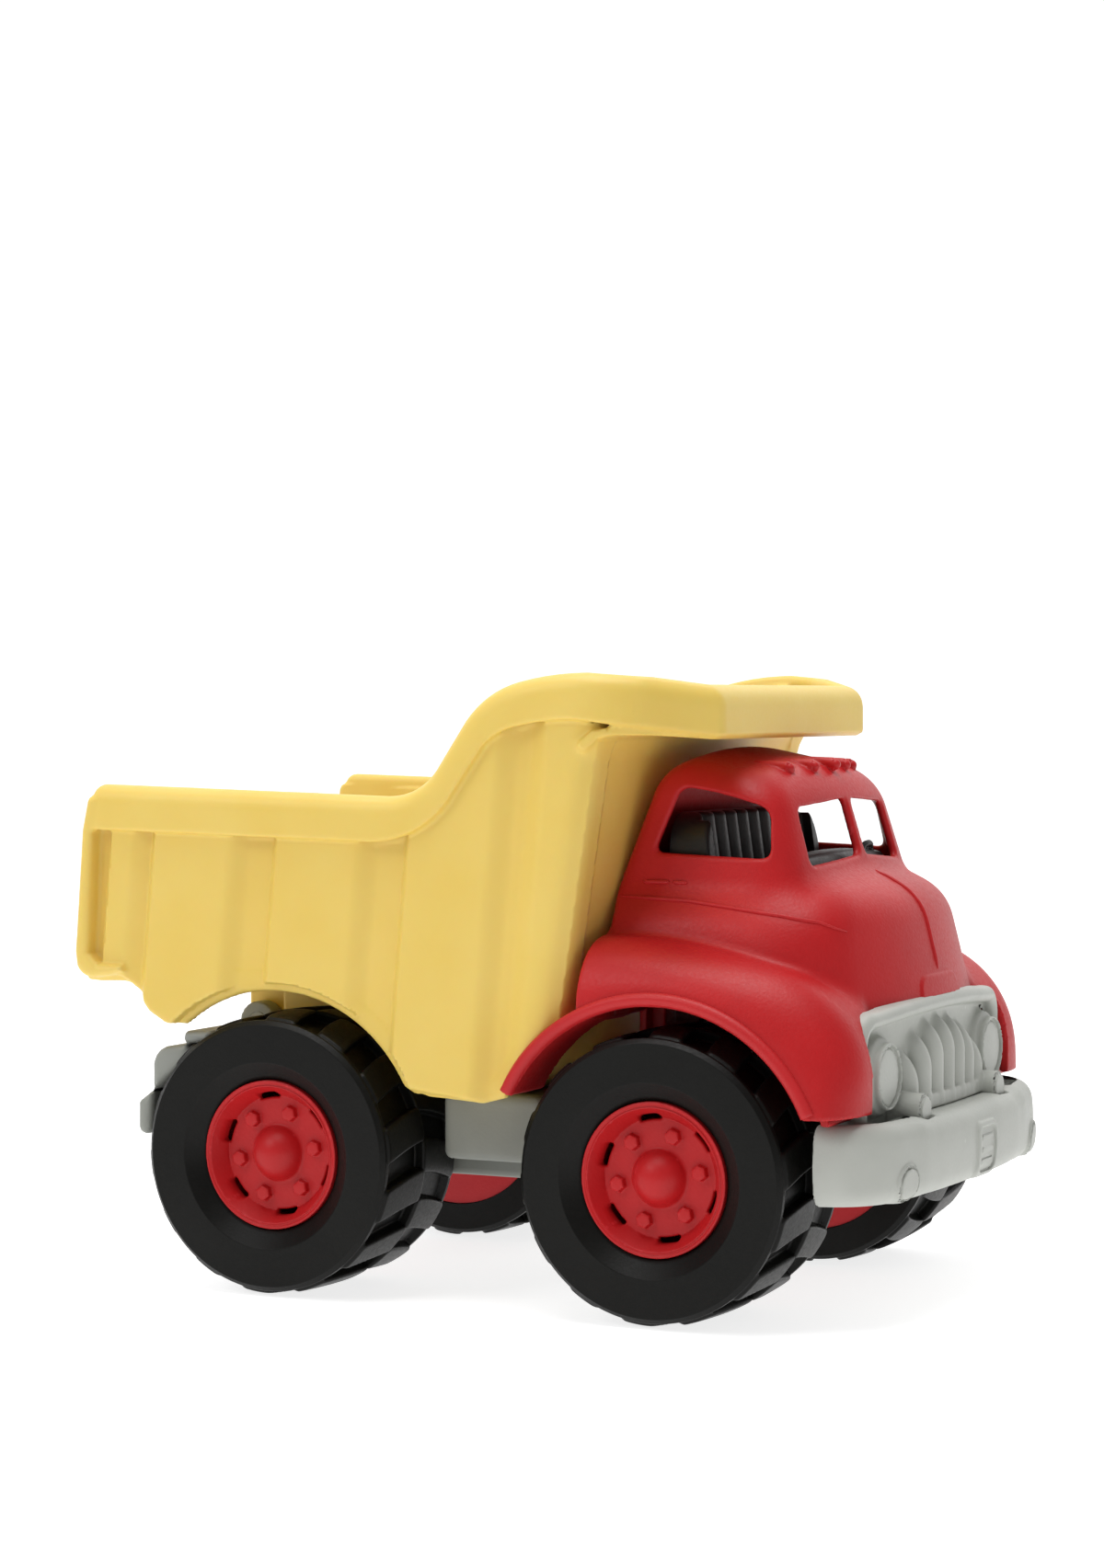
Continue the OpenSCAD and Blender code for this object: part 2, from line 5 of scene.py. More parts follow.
import bpy
import numpy as np
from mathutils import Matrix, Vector


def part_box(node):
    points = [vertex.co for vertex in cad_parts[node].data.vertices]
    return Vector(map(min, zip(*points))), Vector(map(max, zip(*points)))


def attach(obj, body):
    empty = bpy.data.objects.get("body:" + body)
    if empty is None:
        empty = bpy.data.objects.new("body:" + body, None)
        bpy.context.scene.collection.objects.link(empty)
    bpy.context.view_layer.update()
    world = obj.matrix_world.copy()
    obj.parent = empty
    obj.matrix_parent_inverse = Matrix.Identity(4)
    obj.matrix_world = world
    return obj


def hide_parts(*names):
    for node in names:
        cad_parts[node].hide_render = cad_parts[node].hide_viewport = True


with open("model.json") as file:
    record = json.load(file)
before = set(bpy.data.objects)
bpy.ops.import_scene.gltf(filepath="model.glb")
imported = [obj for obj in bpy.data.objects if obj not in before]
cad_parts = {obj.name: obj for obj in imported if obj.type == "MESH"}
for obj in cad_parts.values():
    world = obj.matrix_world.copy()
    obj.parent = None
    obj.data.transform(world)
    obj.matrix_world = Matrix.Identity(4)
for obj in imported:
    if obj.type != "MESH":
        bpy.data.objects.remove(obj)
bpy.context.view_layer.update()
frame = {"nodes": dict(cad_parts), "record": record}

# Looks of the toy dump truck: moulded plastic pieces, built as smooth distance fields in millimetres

MM = 0.001
COARSER = 1.0


# ---- frame values, in millimetres

def node_box(node):
    """Lowest and highest corner of a CAD node in millimetres."""
    low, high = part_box(node)
    return np.array(low) / MM, np.array(high) / MM


def joint_place(name):
    """Position of a joint in millimetres."""
    for joint in frame["record"]["behaviour"]["joints"]:
        if joint["name"] == name:
            return [v / MM for v in joint["pos_m"]]
    raise KeyError(name)


BED_LOW, BED_HIGH = node_box("dump_bed")
CAB_LOW, CAB_HIGH = node_box("cab_shell")
GRILLE_LOW, GRILLE_HIGH = node_box("grille_panel")
BUMPER_LOW, BUMPER_HIGH = node_box("front_bumper")
TYRE_LOW, TYRE_HIGH = node_box("tyre_front_left")
FRONT_X, _, AXLE_Z = joint_place("front_wheels_roll")
REAR_X = joint_place("rear_wheels_roll")[0]
PIVOT_X, _, PIVOT_Z = joint_place("bed_tip")
FRONT_AXLE, REAR_AXLE, PIVOT = (FRONT_X, AXLE_Z), (REAR_X, AXLE_Z), (PIVOT_X, PIVOT_Z)
WHEEL_R = AXLE_Z
TYRE_W = TYRE_HIGH[1] - TYRE_LOW[1]


# ---- distance fields

def smooth_max(a, b, k):
    """Intersection of two solids whose shared edge is rounded over about k."""
    h = np.maximum(k - np.abs(a - b), 0.0) / k
    return np.maximum(a, b) + h * h * (k * 0.25)


def smooth_min(a, b, k):
    """Union of two solids with a fillet of about k."""
    return -smooth_max(-a, -b, k)


def least(*fields):
    """Sharp union of several solids."""
    return functools.reduce(np.minimum, fields)


def most(*fields):
    """Sharp intersection of several solids."""
    return functools.reduce(np.maximum, fields)


def ramp(a, b, v):
    """0 below a, 1 above b, smooth between."""
    t = np.clip((v - a) / (b - a), 0.0, 1.0)
    return t * t * (3.0 - 2.0 * t)


def spread(u, v, centre):
    """Distance from a centre in the (u, v) plane."""
    return np.sqrt((u - centre[0]) ** 2 + (v - centre[1]) ** 2)


def arc(centre, radius, start, end, count=8):
    """Points of an arc, angles in degrees."""
    angles = np.radians(np.linspace(start, end, count + 1))
    return [(centre[0] + radius * math.cos(a), centre[1] + radius * math.sin(a)) for a in angles]


def edge_distance2(u, v, a, b):
    """Squared distance to the segment a-b."""
    ex, ev = b[0] - a[0], b[1] - a[1]
    wu, wv = u - a[0], v - a[1]
    t = np.clip((wu * ex + wv * ev) / (ex * ex + ev * ev), 0.0, 1.0)
    return (wu - ex * t) ** 2 + (wv - ev * t) ** 2


def nearest_edge(u, v, edges):
    """Distance to the nearest of several segments."""
    return np.sqrt(functools.reduce(np.minimum, (edge_distance2(u, v, a, b) for a, b in edges)))


def path_distance(u, v, points):
    """Distance to an open line of points."""
    return nearest_edge(u, v, zip(points, points[1:]))


def outline_distance(u, v, points):
    """Signed distance to a closed outline, negative inside."""
    inside = False
    edges = list(zip(points, points[1:] + points[:1]))
    for a, b in edges:
        if a[1] != b[1]:
            crosses = (a[1] > v) != (b[1] > v)
            left = u < (b[0] - a[0]) * (v - a[1]) / (b[1] - a[1]) + a[0]
            inside = np.logical_xor(inside, crosses & left)
    return np.where(inside, -1.0, 1.0) * nearest_edge(u, v, edges)


def soft_outline(u, v, points, radius):
    """Signed distance to a convex outline whose corners are rounded to radius."""
    centre = np.mean(points, axis=0)
    planes = None
    for a, b in zip(points, points[1:] + points[:1]):
        normal = np.array([b[1] - a[1], a[0] - b[0]], float)
        normal /= np.linalg.norm(normal)
        if np.dot(normal, centre - np.array(a)) > 0:
            normal = -normal
        d = (u - a[0]) * normal[0] + (v - a[1]) * normal[1]
        planes = d if planes is None else smooth_max(planes, d, radius)
    return planes


def box_field(u, v, w, low, high, k=0.8):
    """A rounded box."""
    parts = [np.abs(c - (a + b) / 2) - (b - a) / 2 for c, a, b in zip((u, v, w), low, high)]
    return smooth_max(smooth_max(parts[0], parts[1], k), parts[2], k)


def rod(u, v, along, centre, radius, low, high, k=0.6):
    """A rounded cylinder at centre in the (u, v) plane, from low to high along the third axis."""
    r = spread(u, v, centre) - radius
    return smooth_max(r, np.abs(along - (low + high) / 2) - (high - low) / 2, k)


# ---- from field to mesh

def axis_samples(low, high, step):
    """Even samples from just below low to just above high."""
    return (low - 1.5 * step + step * np.arange(int(math.ceil((high - low) / step)) + 4)).astype(np.float32)


def mirrored_samples(high, step):
    """Samples of the left half, none of them on the middle plane."""
    half = step * (np.arange(int(math.ceil(high / step)) + 2) + 0.5)
    return half.astype(np.float32)


def evaluate(field, a, b, c):
    """The field at every crossing of three axes."""
    values = field(a[:, None, None], b[None, :, None], c[None, None, :])
    return np.ascontiguousarray(np.broadcast_to(values, (len(a), len(b), len(c)))).astype(np.float32)


def sample_grid(field, low, high, step, mirrored):
    """The field on a regular grid. A mirrored field is sampled on one side only."""
    x, z = axis_samples(low[0], high[0], step), axis_samples(low[2], high[2], step)
    y = mirrored_samples(high[1], step) if mirrored else axis_samples(low[1], high[1], step)
    values = evaluate(field, x, y, z)
    if mirrored:
        values = np.concatenate([values[:, ::-1], values], axis=1)
        y = np.concatenate([-y[::-1], y])
    return values, (x, y, z)


def surface_net(values, axes):
    """Vertices and quads of the zero surface: one vertex in each cell that the surface crosses."""
    inside = values < 0
    cells = tuple(n - 1 for n in values.shape)
    total = np.zeros(cells, np.int8)
    for i, j, k in np.ndindex(2, 2, 2):
        total += inside[i:i + cells[0], j:j + cells[1], k:k + cells[2]]
    active = (total > 0) & (total < 8)
    index = np.full(cells, -1, np.int32)
    count = int(active.sum())
    index[active] = np.arange(count, dtype=np.int32)
    sums, hits, quads = np.zeros((count, 3)), np.zeros(count), []
    for axis in range(3):
        near = [slice(None)] * 3
        far = [slice(None)] * 3
        near[axis], far[axis] = slice(0, -1), slice(1, None)
        a, b = values[tuple(near)], values[tuple(far)]
        where = np.nonzero((a < 0) != (b < 0))
        va, vb = a[where].astype(np.float64), b[where].astype(np.float64)
        t = va / (va - vb)
        point = np.empty((len(t), 3))
        for c in range(3):
            point[:, c] = axes[c][where[c]]
        point[:, axis] += t * (axes[axis][1] - axes[axis][0])
        u, v = [c for c in range(3) if c != axis]
        around = []
        valid = np.ones(len(t), bool)
        for du, dv in ((-1, -1), (0, -1), (0, 0), (-1, 0)):
            cell = [where[0].copy(), where[1].copy(), where[2].copy()]
            cell[u] += du
            cell[v] += dv
            fine = (cell[u] >= 0) & (cell[u] < cells[u]) & (cell[v] >= 0) & (cell[v] < cells[v])
            ids = np.full(len(t), -1, np.int64)
            ids[fine] = index[cell[0][fine], cell[1][fine], cell[2][fine]]
            good = ids >= 0
            for c in range(3):
                sums[:, c] += np.bincount(ids[good], weights=point[good, c], minlength=count)
            hits += np.bincount(ids[good], minlength=count)
            valid &= good
            around.append(ids)
        quad = np.stack(around, axis=1)[valid]
        flip = (va[valid] < 0) == (axis == 1)
        quad[flip] = quad[flip][:, ::-1]
        quads.append(quad)
    return sums / hits[:, None], np.concatenate(quads)


def gradient(field, points, mirrored, reach=0.04):
    """Slope of the field at the points, with the sign of Y restored on a mirrored field."""
    x, y, z = points.T
    side = np.where(y < 0, -1.0, 1.0) if mirrored else 1.0
    y = np.abs(y) if mirrored else y
    slope = np.stack([field(x + reach, y, z) - field(x - reach, y, z),
                      (field(x, y + reach, z) - field(x, y - reach, z)) * side,
                      field(x, y, z + reach) - field(x, y, z - reach)], axis=1)
    return slope / (2 * reach)


def newton_shift(slope, value, least_slope, limit):
    """The way from points to the zero surface, no longer than limit."""
    shift = slope * (value / np.maximum((slope ** 2).sum(axis=1), least_slope))[:, None]
    length = np.linalg.norm(shift, axis=1)
    return shift * np.minimum(1.0, limit / np.maximum(length, 1e-9))[:, None]


def settle(field, points, mirrored, step):
    """Moves the points on to the zero surface."""
    for _ in range(2):
        y = np.abs(points[:, 1]) if mirrored else points[:, 1]
        value = field(points[:, 0], y, points[:, 2])
        points = points - newton_shift(gradient(field, points, mirrored), value, 0.05, 0.6 * step)
    return points


def make_mesh(name, points, faces):
    """A Blender object in metres from points in millimetres."""
    mesh = bpy.data.meshes.new(name)
    size = faces.shape[1]
    mesh.vertices.add(len(points))
    mesh.vertices.foreach_set("co", (points * MM).astype(np.float32).ravel())
    mesh.loops.add(faces.size)
    mesh.loops.foreach_set("vertex_index", faces.astype(np.int32).ravel())
    mesh.polygons.add(len(faces))
    mesh.polygons.foreach_set("loop_start", np.arange(0, faces.size, size, dtype=np.int32))
    mesh.polygons.foreach_set("use_smooth", np.ones(len(faces), bool))
    mesh.update(calc_edges=True)
    piece = bpy.data.objects.new(name, mesh)
    bpy.context.scene.collection.objects.link(piece)
    return piece


def unit_rows(vectors):
    return (vectors / np.maximum(np.linalg.norm(vectors, axis=1), 1e-9)[:, None]).astype(np.float32)


def vertex_points(mesh):
    points = np.empty(len(mesh.vertices) * 3, np.float32)
    mesh.vertices.foreach_get("co", points)
    return points.reshape(-1, 3).astype(np.float64)


def shade(piece, field, mirrored):
    """Gives the mesh the field's own normals."""
    mesh = piece.data
    slope = gradient(field, vertex_points(mesh) / MM, mirrored, 0.12)
    mesh.normals_split_custom_set_from_vertices(unit_rows(slope))


def mould(name, field, low, high, step, mirrored=True):
    """A moulded piece from its distance field."""
    step *= COARSER
    values, axes = sample_grid(field, low, high, step, mirrored)
    points, faces = surface_net(values, axes)
    points = settle(field, points, mirrored, step)
    piece = make_mesh(name, points, faces)
    shade(piece, field, mirrored)
    return piece


# ---- dump bed

RIM_HALF = BED_HIGH[1]
WALL_HALF = RIM_HALF - 5.6
WALL_T = 2.6
BAND_H = 13.6
PANEL_OUT = 2.9
RIM_RISE = (-25.5, 151.1)
RIM_CREST = (38.8, BED_HIGH[2])
CANOPY_X = BED_HIGH[0]
FLOOR_Z = 95.4
WELL_Z = 65.0
BED_ARCH_R = 49.4
FENDER_GAP_R = 53.0
LUG_R = 6.6


def rise_curve(start, crest, r_foot, r_shoulder, r_crown, climb, ease=14):
    """The rim's climb from its level stretch to its crest, as three tangent arcs."""
    crown = (crest[0], crest[1] - r_crown)
    turn = math.radians(90 + ease)
    inset = r_crown - r_shoulder
    shoulder = (crown[0] + inset * math.cos(turn), crown[1] + inset * math.sin(turn))
    return (arc((start[0], start[1] + r_foot), r_foot, -90, climb - 90, 8)
            + arc(shoulder, r_shoulder, 90 + climb, 90 + ease, 8) + arc(crown, r_crown, 90 + ease, 90, 5))


RIM_TOP = (arc((-124.6, 149.4), 4.2, 180, 92, 6) + rise_curve(RIM_RISE, RIM_CREST, 20, 30, 90, 53)
           + [(55, 186.2), (80, 181.6)])
RIM_LOW = ([(-140, 139.9)]
           + rise_curve((RIM_RISE[0] - 4.5, RIM_RISE[1] - BAND_H), (36, RIM_CREST[1] - BAND_H),
                        33, 19, 80, 50)
           + [(55, 171.6), (80, 167.4)])
BELOW_TOP = [(-131.6, 133)] + RIM_TOP + [(90, 50), (-131.6, 50)]
BELOW_LOW = RIM_LOW + [(90, 50), (-160, 50), (-160, 139.9)]
HIP = math.radians(48.5)
HIP_R = 30.0
HIP_X = 35.0
CANOPY_PLAN = ([(-220, -60), (-220, RIM_HALF)]
               + [(HIP_X + HIP_R * math.sin(a), RIM_HALF - HIP_R * (1 - math.cos(a)))
                  for a in np.linspace(0, HIP, 9)]
               + arc((CANOPY_X - 6, 55.6), 6, 46, 0, 6) + [(CANOPY_X, -60)])

WALL_OUTLINE = (
    [(-130.2, 101), (-126, 97), (-120.5, 95.6), (-115.4, 92.5), (-108.6, 84), (-102.8, 80.6), (-97, 80.4)]
    + arc(REAR_AXLE, BED_ARCH_R, 127, 27, 24)
    + [(-18.7, 64.4)] + arc((4.6, 66.3), 4.6, 262, 300, 3)
    + arc(FRONT_AXLE, FENDER_GAP_R, 157, 120, 10)
    + [(33.6, 100), (44.4, 172)] + [(x, z - 3.2) for x, z in reversed(RIM_TOP) if -124 < x < 43]
    + [(-130.2, 149)])
FLOOR_PATH = (
    [(-132, FLOOR_Z - 1.3)] + arc(REAR_AXLE, BED_ARCH_R + WALL_T, 90, 30, 14)
    + [(-17.2, WELL_Z - 0.6)] + arc((-12, WELL_Z + 3.7), 5, 220, 270, 4)
    + arc((4, WELL_Z + 8.7), 10, 270, 315, 4)
    + [(18.6, 75.4), (28.6, 87.6), (30.7, 102), (40.6, 169.6), (41.6, 173)])
CANOPY_PATH = [(39.2, 166.6), (42.2, 169.4), (47, 170.6), (56, 170.6), (CANOPY_X - 3, 169.4)]
LEAN = 0.09  # how far the valleys lean forward with height, from LEAN_Z
LEAN_Z = 125.0
# Each valley: where it starts, its steep far side, and how wide that side is
VALLEYS = ((-116.5, -107.0, 2.8), (-82.0, -64.0, 3.0), (-38.0, -19.2, 3.0), (6.0, 24.0, 8.0))


def panel_relief(x, z):
    """1 on the wall's raised panels, 0 in the valleys between them."""
    across = x - LEAN * (z - LEAN_Z)
    relief = ramp(-124.2, -122.6, across)
    for soft, steep, width in VALLEYS:
        valley = ramp(soft, soft + 8.0, across) * (1.0 - ramp(steep - width, steep + 0.4, across))
        relief = relief * (1.0 - valley)
    arch = spread(x, z, REAR_AXLE) - BED_ARCH_R
    return relief * ramp(1.9, 2.7, arch)


def rim_field(x, y, z):
    """The lip round the top: a rounded flange with a skirt, hollow underneath."""
    plan = outline_distance(x, y, CANOPY_PLAN)
    top = outline_distance(x, z, BELOW_TOP)
    low = outline_distance(x, z, BELOW_LOW)
    lip = smooth_max(smooth_max(plan, top, 6.5), -low, 1.3)
    lip = smooth_max(lip, -(plan + RIM_HALF - WALL_HALF + WALL_T), 3.0)
    pocket = most(plan + WALL_T, -(plan + RIM_HALF - WALL_HALF), top + 3.0)
    return smooth_max(lip, -pocket, 0.8)


def front_corner(x, y, z):
    """The side wall's face, rounded into the front wall's."""
    face = y - (WALL_HALF + PANEL_OUT * panel_relief(x, z))
    ahead = 0.989 * (x - 32.0) - 0.148 * (z - 102.0)
    return smooth_max(face, ahead, 8.0), ahead


def side_wall_field(x, y, z):
    """A side wall with its panels, wheel arch and cut-outs."""
    corner, ahead = front_corner(x, y, z)
    outline = outline_distance(x, z, WALL_OUTLINE)
    inner = WALL_HALF - WALL_T - 6.0 * ramp(-11.0, -4.0, ahead) - y
    return np.maximum(smooth_max(corner, outline, 1.8), inner)


REAR_LIP = ([(-125.6, 149), (-129.0, 149.6), (-131.2, 139.5), (-133.5, 107), (-133.95, 102)]
            + arc((-127.9, 99.9), 6, 205, 268, 4)
            + [(-121.5, 94.8), (-116.6, 96.2), (-117.5, 98.0), (-125.6, 98.2), (-129.2, 101.5),
               (-127.4, 139)])


def rear_lip_field(x, y, z):
    """The upright lip at the open rear end of a side wall."""
    outline = outline_distance(x, z, REAR_LIP)
    return np.maximum(smooth_max(outline, y - RIM_HALF, 2.4), (WALL_HALF - WALL_T) - y)


def floor_field(x, y, z):
    """Floor, front wall and canopy: sheets that follow their side views."""
    sheet = path_distance(x, z, FLOOR_PATH) - WALL_T / 2
    sheet = smooth_max(sheet, np.maximum(y - WALL_HALF + 1.0, front_corner(x, y, z)[0] + 0.2), 0.8)
    canopy = path_distance(x, z, CANOPY_PATH) - WALL_T / 2
    plan = outline_distance(x, y, CANOPY_PLAN)
    canopy = smooth_max(canopy, plan + 1.4, 0.8)
    return smooth_min(sheet, canopy, 4.0)


def bed_lug_field(x, y, z):
    """The hanger plates under the floor that the hinge pins pass through."""
    hanger = outline_distance(x, z, [(PIVOT_X - LUG_R, FLOOR_Z - 1), (PIVOT_X - LUG_R, PIVOT_Z),
                                     (PIVOT_X + LUG_R, PIVOT_Z), (PIVOT_X + 12, FLOOR_Z - 1)])
    boss = spread(x, z, PIVOT)
    plate = np.maximum(np.minimum(hanger, boss - LUG_R), 3.1 - boss)
    return smooth_max(plate, np.abs(y - 19.75) - 4.75, 0.8)


def bed_field(x, y, z):
    """The whole bed moulding."""
    walls = smooth_min(side_wall_field(x, y, z), rear_lip_field(x, y, z), 1.5)
    shell = smooth_min(walls, floor_field(x, y, z), 3.0)
    shell = smooth_min(shell, rim_field(x, y, z), 1.5)
    rib = box_field(x, y, z, (-88, 33, 80), (-30, 35.6, FLOOR_Z + 1))
    return smooth_min(smooth_min(shell, rib, 1.5), bed_lug_field(x, y, z), 1.5)


# ---- cab

ROOF_Z = 166.4
CAB_T = 2.6
ARCH_R = 49.6
FENDER_HALF = 83.7
LIP_R = 51.2
REAR_FACE = 36.6
BEAD_R = 2.1
WELL_R = 54.0
WELL_Y = 37.6
CAB_ROOM = np.array([0, 2.0, 2.0])
SIDE_WINDOW = [(54.2, 153.9), (72.0, 151.6), (81.6, 147.6), (83.2, 133.2), (46.9, 134.6)]
PANE = [(1.9, 149.9), (35.4, 147.9), (36.6, 130.6), (2.2, 133.0)]
LAMPS = ((0.0, 84.6, 160.0), (13.0, 82.9, 159.6), (26.0, 80.0, 159.2))
HANDLES = ([(44.4, 126.0), (52.6, 126.0)], [(53.8, 126.0), (58.4, 125.9)])
CREASE = [(37.4, 121.7), (60, 120.8), (75, 119.1), (89.5, 117.3), (100, 115.4), (106, 112.6)]


def rear_plane(z):
    """X of the cab's rear face, which leans forward above the seat."""
    return REAR_FACE + 0.34 * np.maximum(z - 128.0, 0)


def house_field(x, y, z):
    """The cab's upper part round the windows: the roof slopes down towards the windscreen."""
    side = (y - 52.0 + 0.16 * (z - 127.0)) / 1.013
    ahead = x - 53.0
    roof = (z - ROOF_Z + 0.0024 * y * y + 0.105 * (ahead + np.sqrt(ahead * ahead + 36.0))) / 1.02
    front = (x - 93.9 + 0.30 * (z - 133.0) + 0.0023 * y * y) / 1.05
    rear = (rear_plane(z) - x) / 1.05
    walls = smooth_max(smooth_max(side, front, 11.0), rear, 4.0)
    return smooth_max(smooth_max(walls, roof, 9.0), 96.0 - z, 4.0)


def body_field(x, y, z):
    """Doors and hood: the side bends in to a shelf under the windows, and the hood slopes forward."""
    rise = np.maximum(z - 94.0, 0)
    side = (y - 62.6 + 0.00078 * rise ** 2.74) / np.sqrt(1.0 + (0.00214 * rise ** 1.74) ** 2)
    top = smooth_max((z - 127.1 + 0.55 * (x - 100.0) + 0.0021 * y * y) / 1.14, z - 129.6, 4.0)
    front = (x - 118.0 + 0.25 * (z - 97.0) + 0.0037 * y * y) / 1.05
    nose = smooth_max(front, top, 6.0)
    rear = rear_plane(z) - x
    return smooth_max(smooth_max(nose, side, 17.0), rear, 2.5)


def fender_field(x, y, z):
    """A pontoon fender: nearly level at its fold with the body, then rolled over to the arch lip."""
    reach = spread(x, z, FRONT_AXLE)
    crown = z - 110.9 + 0.001866 * np.maximum(x - 36.0, 0) ** 2.07
    crown = smooth_max(crown, x - 119.6 + 0.0018 * (z - 70.0) ** 2, 24.0)
    t = np.clip((y - 64.0) / (FENDER_HALF - 64.0), 0.0, 1.0)
    blend = 1.0 - np.sqrt(np.maximum(1.0 - t * t, 0.0))
    skin = crown * (1.0 - blend) + (reach - LIP_R) * blend
    skin = smooth_max(smooth_max(skin, y - FENDER_HALF, 1.2), 47.0 - y, 3.0)
    tail = most(np.abs(reach - ARCH_R - 1.3) - 1.3, y - FENDER_HALF, 62.4 - y)
    return smooth_min(smooth_max(skin, REAR_FACE - x, 1.6), tail, 1.0)


def lamp_field(x, y, z):
    """Five roof marker lamps: a small dome in front of a fairing that runs back into the roof."""
    lamps = []
    for across, ahead, height in LAMPS:
        dy = y - across
        along = np.clip((ahead - x) / 11.0, 0.0, 1.0)
        fairing = np.sqrt(dy ** 2 + (z - height - 1.4 * along) ** 2) - 2.1 + 1.1 * along
        fairing = smooth_max(fairing, np.maximum(x - ahead, ahead - 11.0 - x), 0.7)
        dome = np.sqrt((x - ahead) ** 2 + dy ** 2 + (z - height) ** 2) - 1.65
        lamps.append(smooth_min(fairing, dome, 0.15))
    return least(*lamps)


def pad_relief(x, y, z):
    """A raised pad with a rounded top, low on the middle of the hood's front."""
    pad = soft_outline(y, z, [(-16.6, 80), (-16.6, 97.8), (16.6, 97.8), (16.6, 80)], 7.0)
    return 0.6 * (1.0 - ramp(-0.5, 0.5, pad)) * ramp(100, 106, x)


def cab_skin(x, y, z):
    """Outer surface of the cab moulding, as a filled solid."""
    skin = smooth_min(house_field(x, y, z), body_field(x, y, z), 4.0)
    return smooth_min(skin, fender_field(x, y, z), 2.6) - pad_relief(x, y, z)


def post_field(x, y, z):
    """Posts inside the cab that carry it on the chassis."""
    rear = box_field(x, y, z, (38.4, 26, 60.0), (43.4, 34, 116), 0.6)
    front = box_field(x, y, z, (100, 26, 60.0), (105, 34, 121.6), 0.6)
    return np.minimum(rear, front)


def well_field(x, y, z, skin, reach):
    """Lining of a front wheel well: an arch over the tyre and a bulkhead behind it."""
    arch = most(np.abs(reach - WELL_R) - 1.2, y - 79.0, WELL_Y - y, 60.0 - z)
    bulkhead = most(np.abs(x - 38.4) - 1.2, WELL_R - 1.0 - reach, WELL_Y - y, y - 78.0,
                    np.abs(z - 84.0) - 12.0)
    return most(np.minimum(arch, bulkhead), skin + 0.4, 37.2 - x)


def cab_field(x, y, z):
    """The cab moulding: a thin shell with its windows, wheel arches and grille opening cut out."""
    skin = cab_skin(x, y, z)
    reach = spread(x, z, FRONT_AXLE)
    shell = smooth_max(skin, -(skin + CAB_T), 0.4)
    shell = smooth_min(shell, lamp_field(x, y, z), 0.7)
    shell = np.maximum(shell, -(skin + 2 * CAB_T))
    side_glass = soft_outline(x, z, SIDE_WINDOW, 3.4)
    pane = np.maximum(soft_outline(y, z, PANE, 3.4), 74.0 - x)
    shell = smooth_max(smooth_max(shell, -np.maximum(side_glass, 30.0 - y), 1.4), -pane, 1.4)
    shell = np.maximum(shell, -np.maximum(reach - ARCH_R, 38.0 - y))
    shell = np.maximum(shell, -most(112.6 - x, surround_outline(y, z) + 0.8, z - 100))
    shell = smooth_max(shell, np.where(x < 38.0, 64.6, 62.0) - z, 0.6)
    well = well_field(x, y, z, skin, reach)
    return least(shell, well, post_field(x, y, z))


def on_skin(starts, direction, reach):
    """Where rays from inside the cab leave its skin, in millimetres."""
    low, high = np.zeros(len(starts)), np.full(len(starts), float(reach))
    direction = np.array(direction, float)
    for _ in range(24):
        middle = (low + high) / 2
        spots = starts + middle[:, None] * direction
        inside = cab_skin(spots[:, 0], np.abs(spots[:, 1]), spots[:, 2]) < 0
        low, high = np.where(inside, middle, low), np.where(inside, high, middle)
    return starts + low[:, None] * direction


def dense(points, spacing):
    """The same polyline with points at an even spacing."""
    points = np.array(points, float)
    along = np.concatenate([[0], np.cumsum(np.linalg.norm(np.diff(points, axis=0), axis=1))])
    stops = np.linspace(0, along[-1], int(along[-1] / spacing) + 2)
    return np.stack([np.interp(stops, along, points[:, c]) for c in range(points.shape[1])], axis=1)


def swept_bead(path, radii):
    """A closed round bead along a path: vertices and triangles."""
    sides, count = 8, len(path)
    tangent = np.gradient(path, axis=0)
    tangent /= np.linalg.norm(tangent, axis=1)[:, None]
    across = np.cross(tangent, np.array([0.31, 0.17, 0.93]))
    across /= np.linalg.norm(across, axis=1)[:, None]
    other = np.cross(tangent, across)
    turn = np.arange(sides) * 2 * math.pi / sides
    ring = (np.cos(turn)[None, :, None] * across[:, None] + np.sin(turn)[None, :, None] * other[:, None])
    points = (path[:, None] + radii[:, None, None] * ring).reshape(-1, 3)
    here = np.arange(count - 1)[:, None] * sides + np.arange(sides)
    nxt = np.arange(count - 1)[:, None] * sides + (np.arange(sides) + 1) % sides
    walls = np.stack([here, nxt, nxt + sides, here, nxt + sides, here + sides], axis=-1).reshape(-1, 3)
    points = np.concatenate([points, path[:1], path[-1:]])
    ends = [(count * sides, (i + 1) % sides, i) for i in range(sides)]
    last = (count - 1) * sides
    ends += [(count * sides + 1, last + i, last + (i + 1) % sides) for i in range(sides)]
    return points, np.concatenate([walls, np.array(ends)])


def tapered(count, radius, fade):
    """Bead radii that swell from nothing over the first and last points."""
    ends = np.minimum(np.arange(count), np.arange(count)[::-1]) + 0.3
    return radius * np.minimum(1.0, ends / fade) ** 0.5


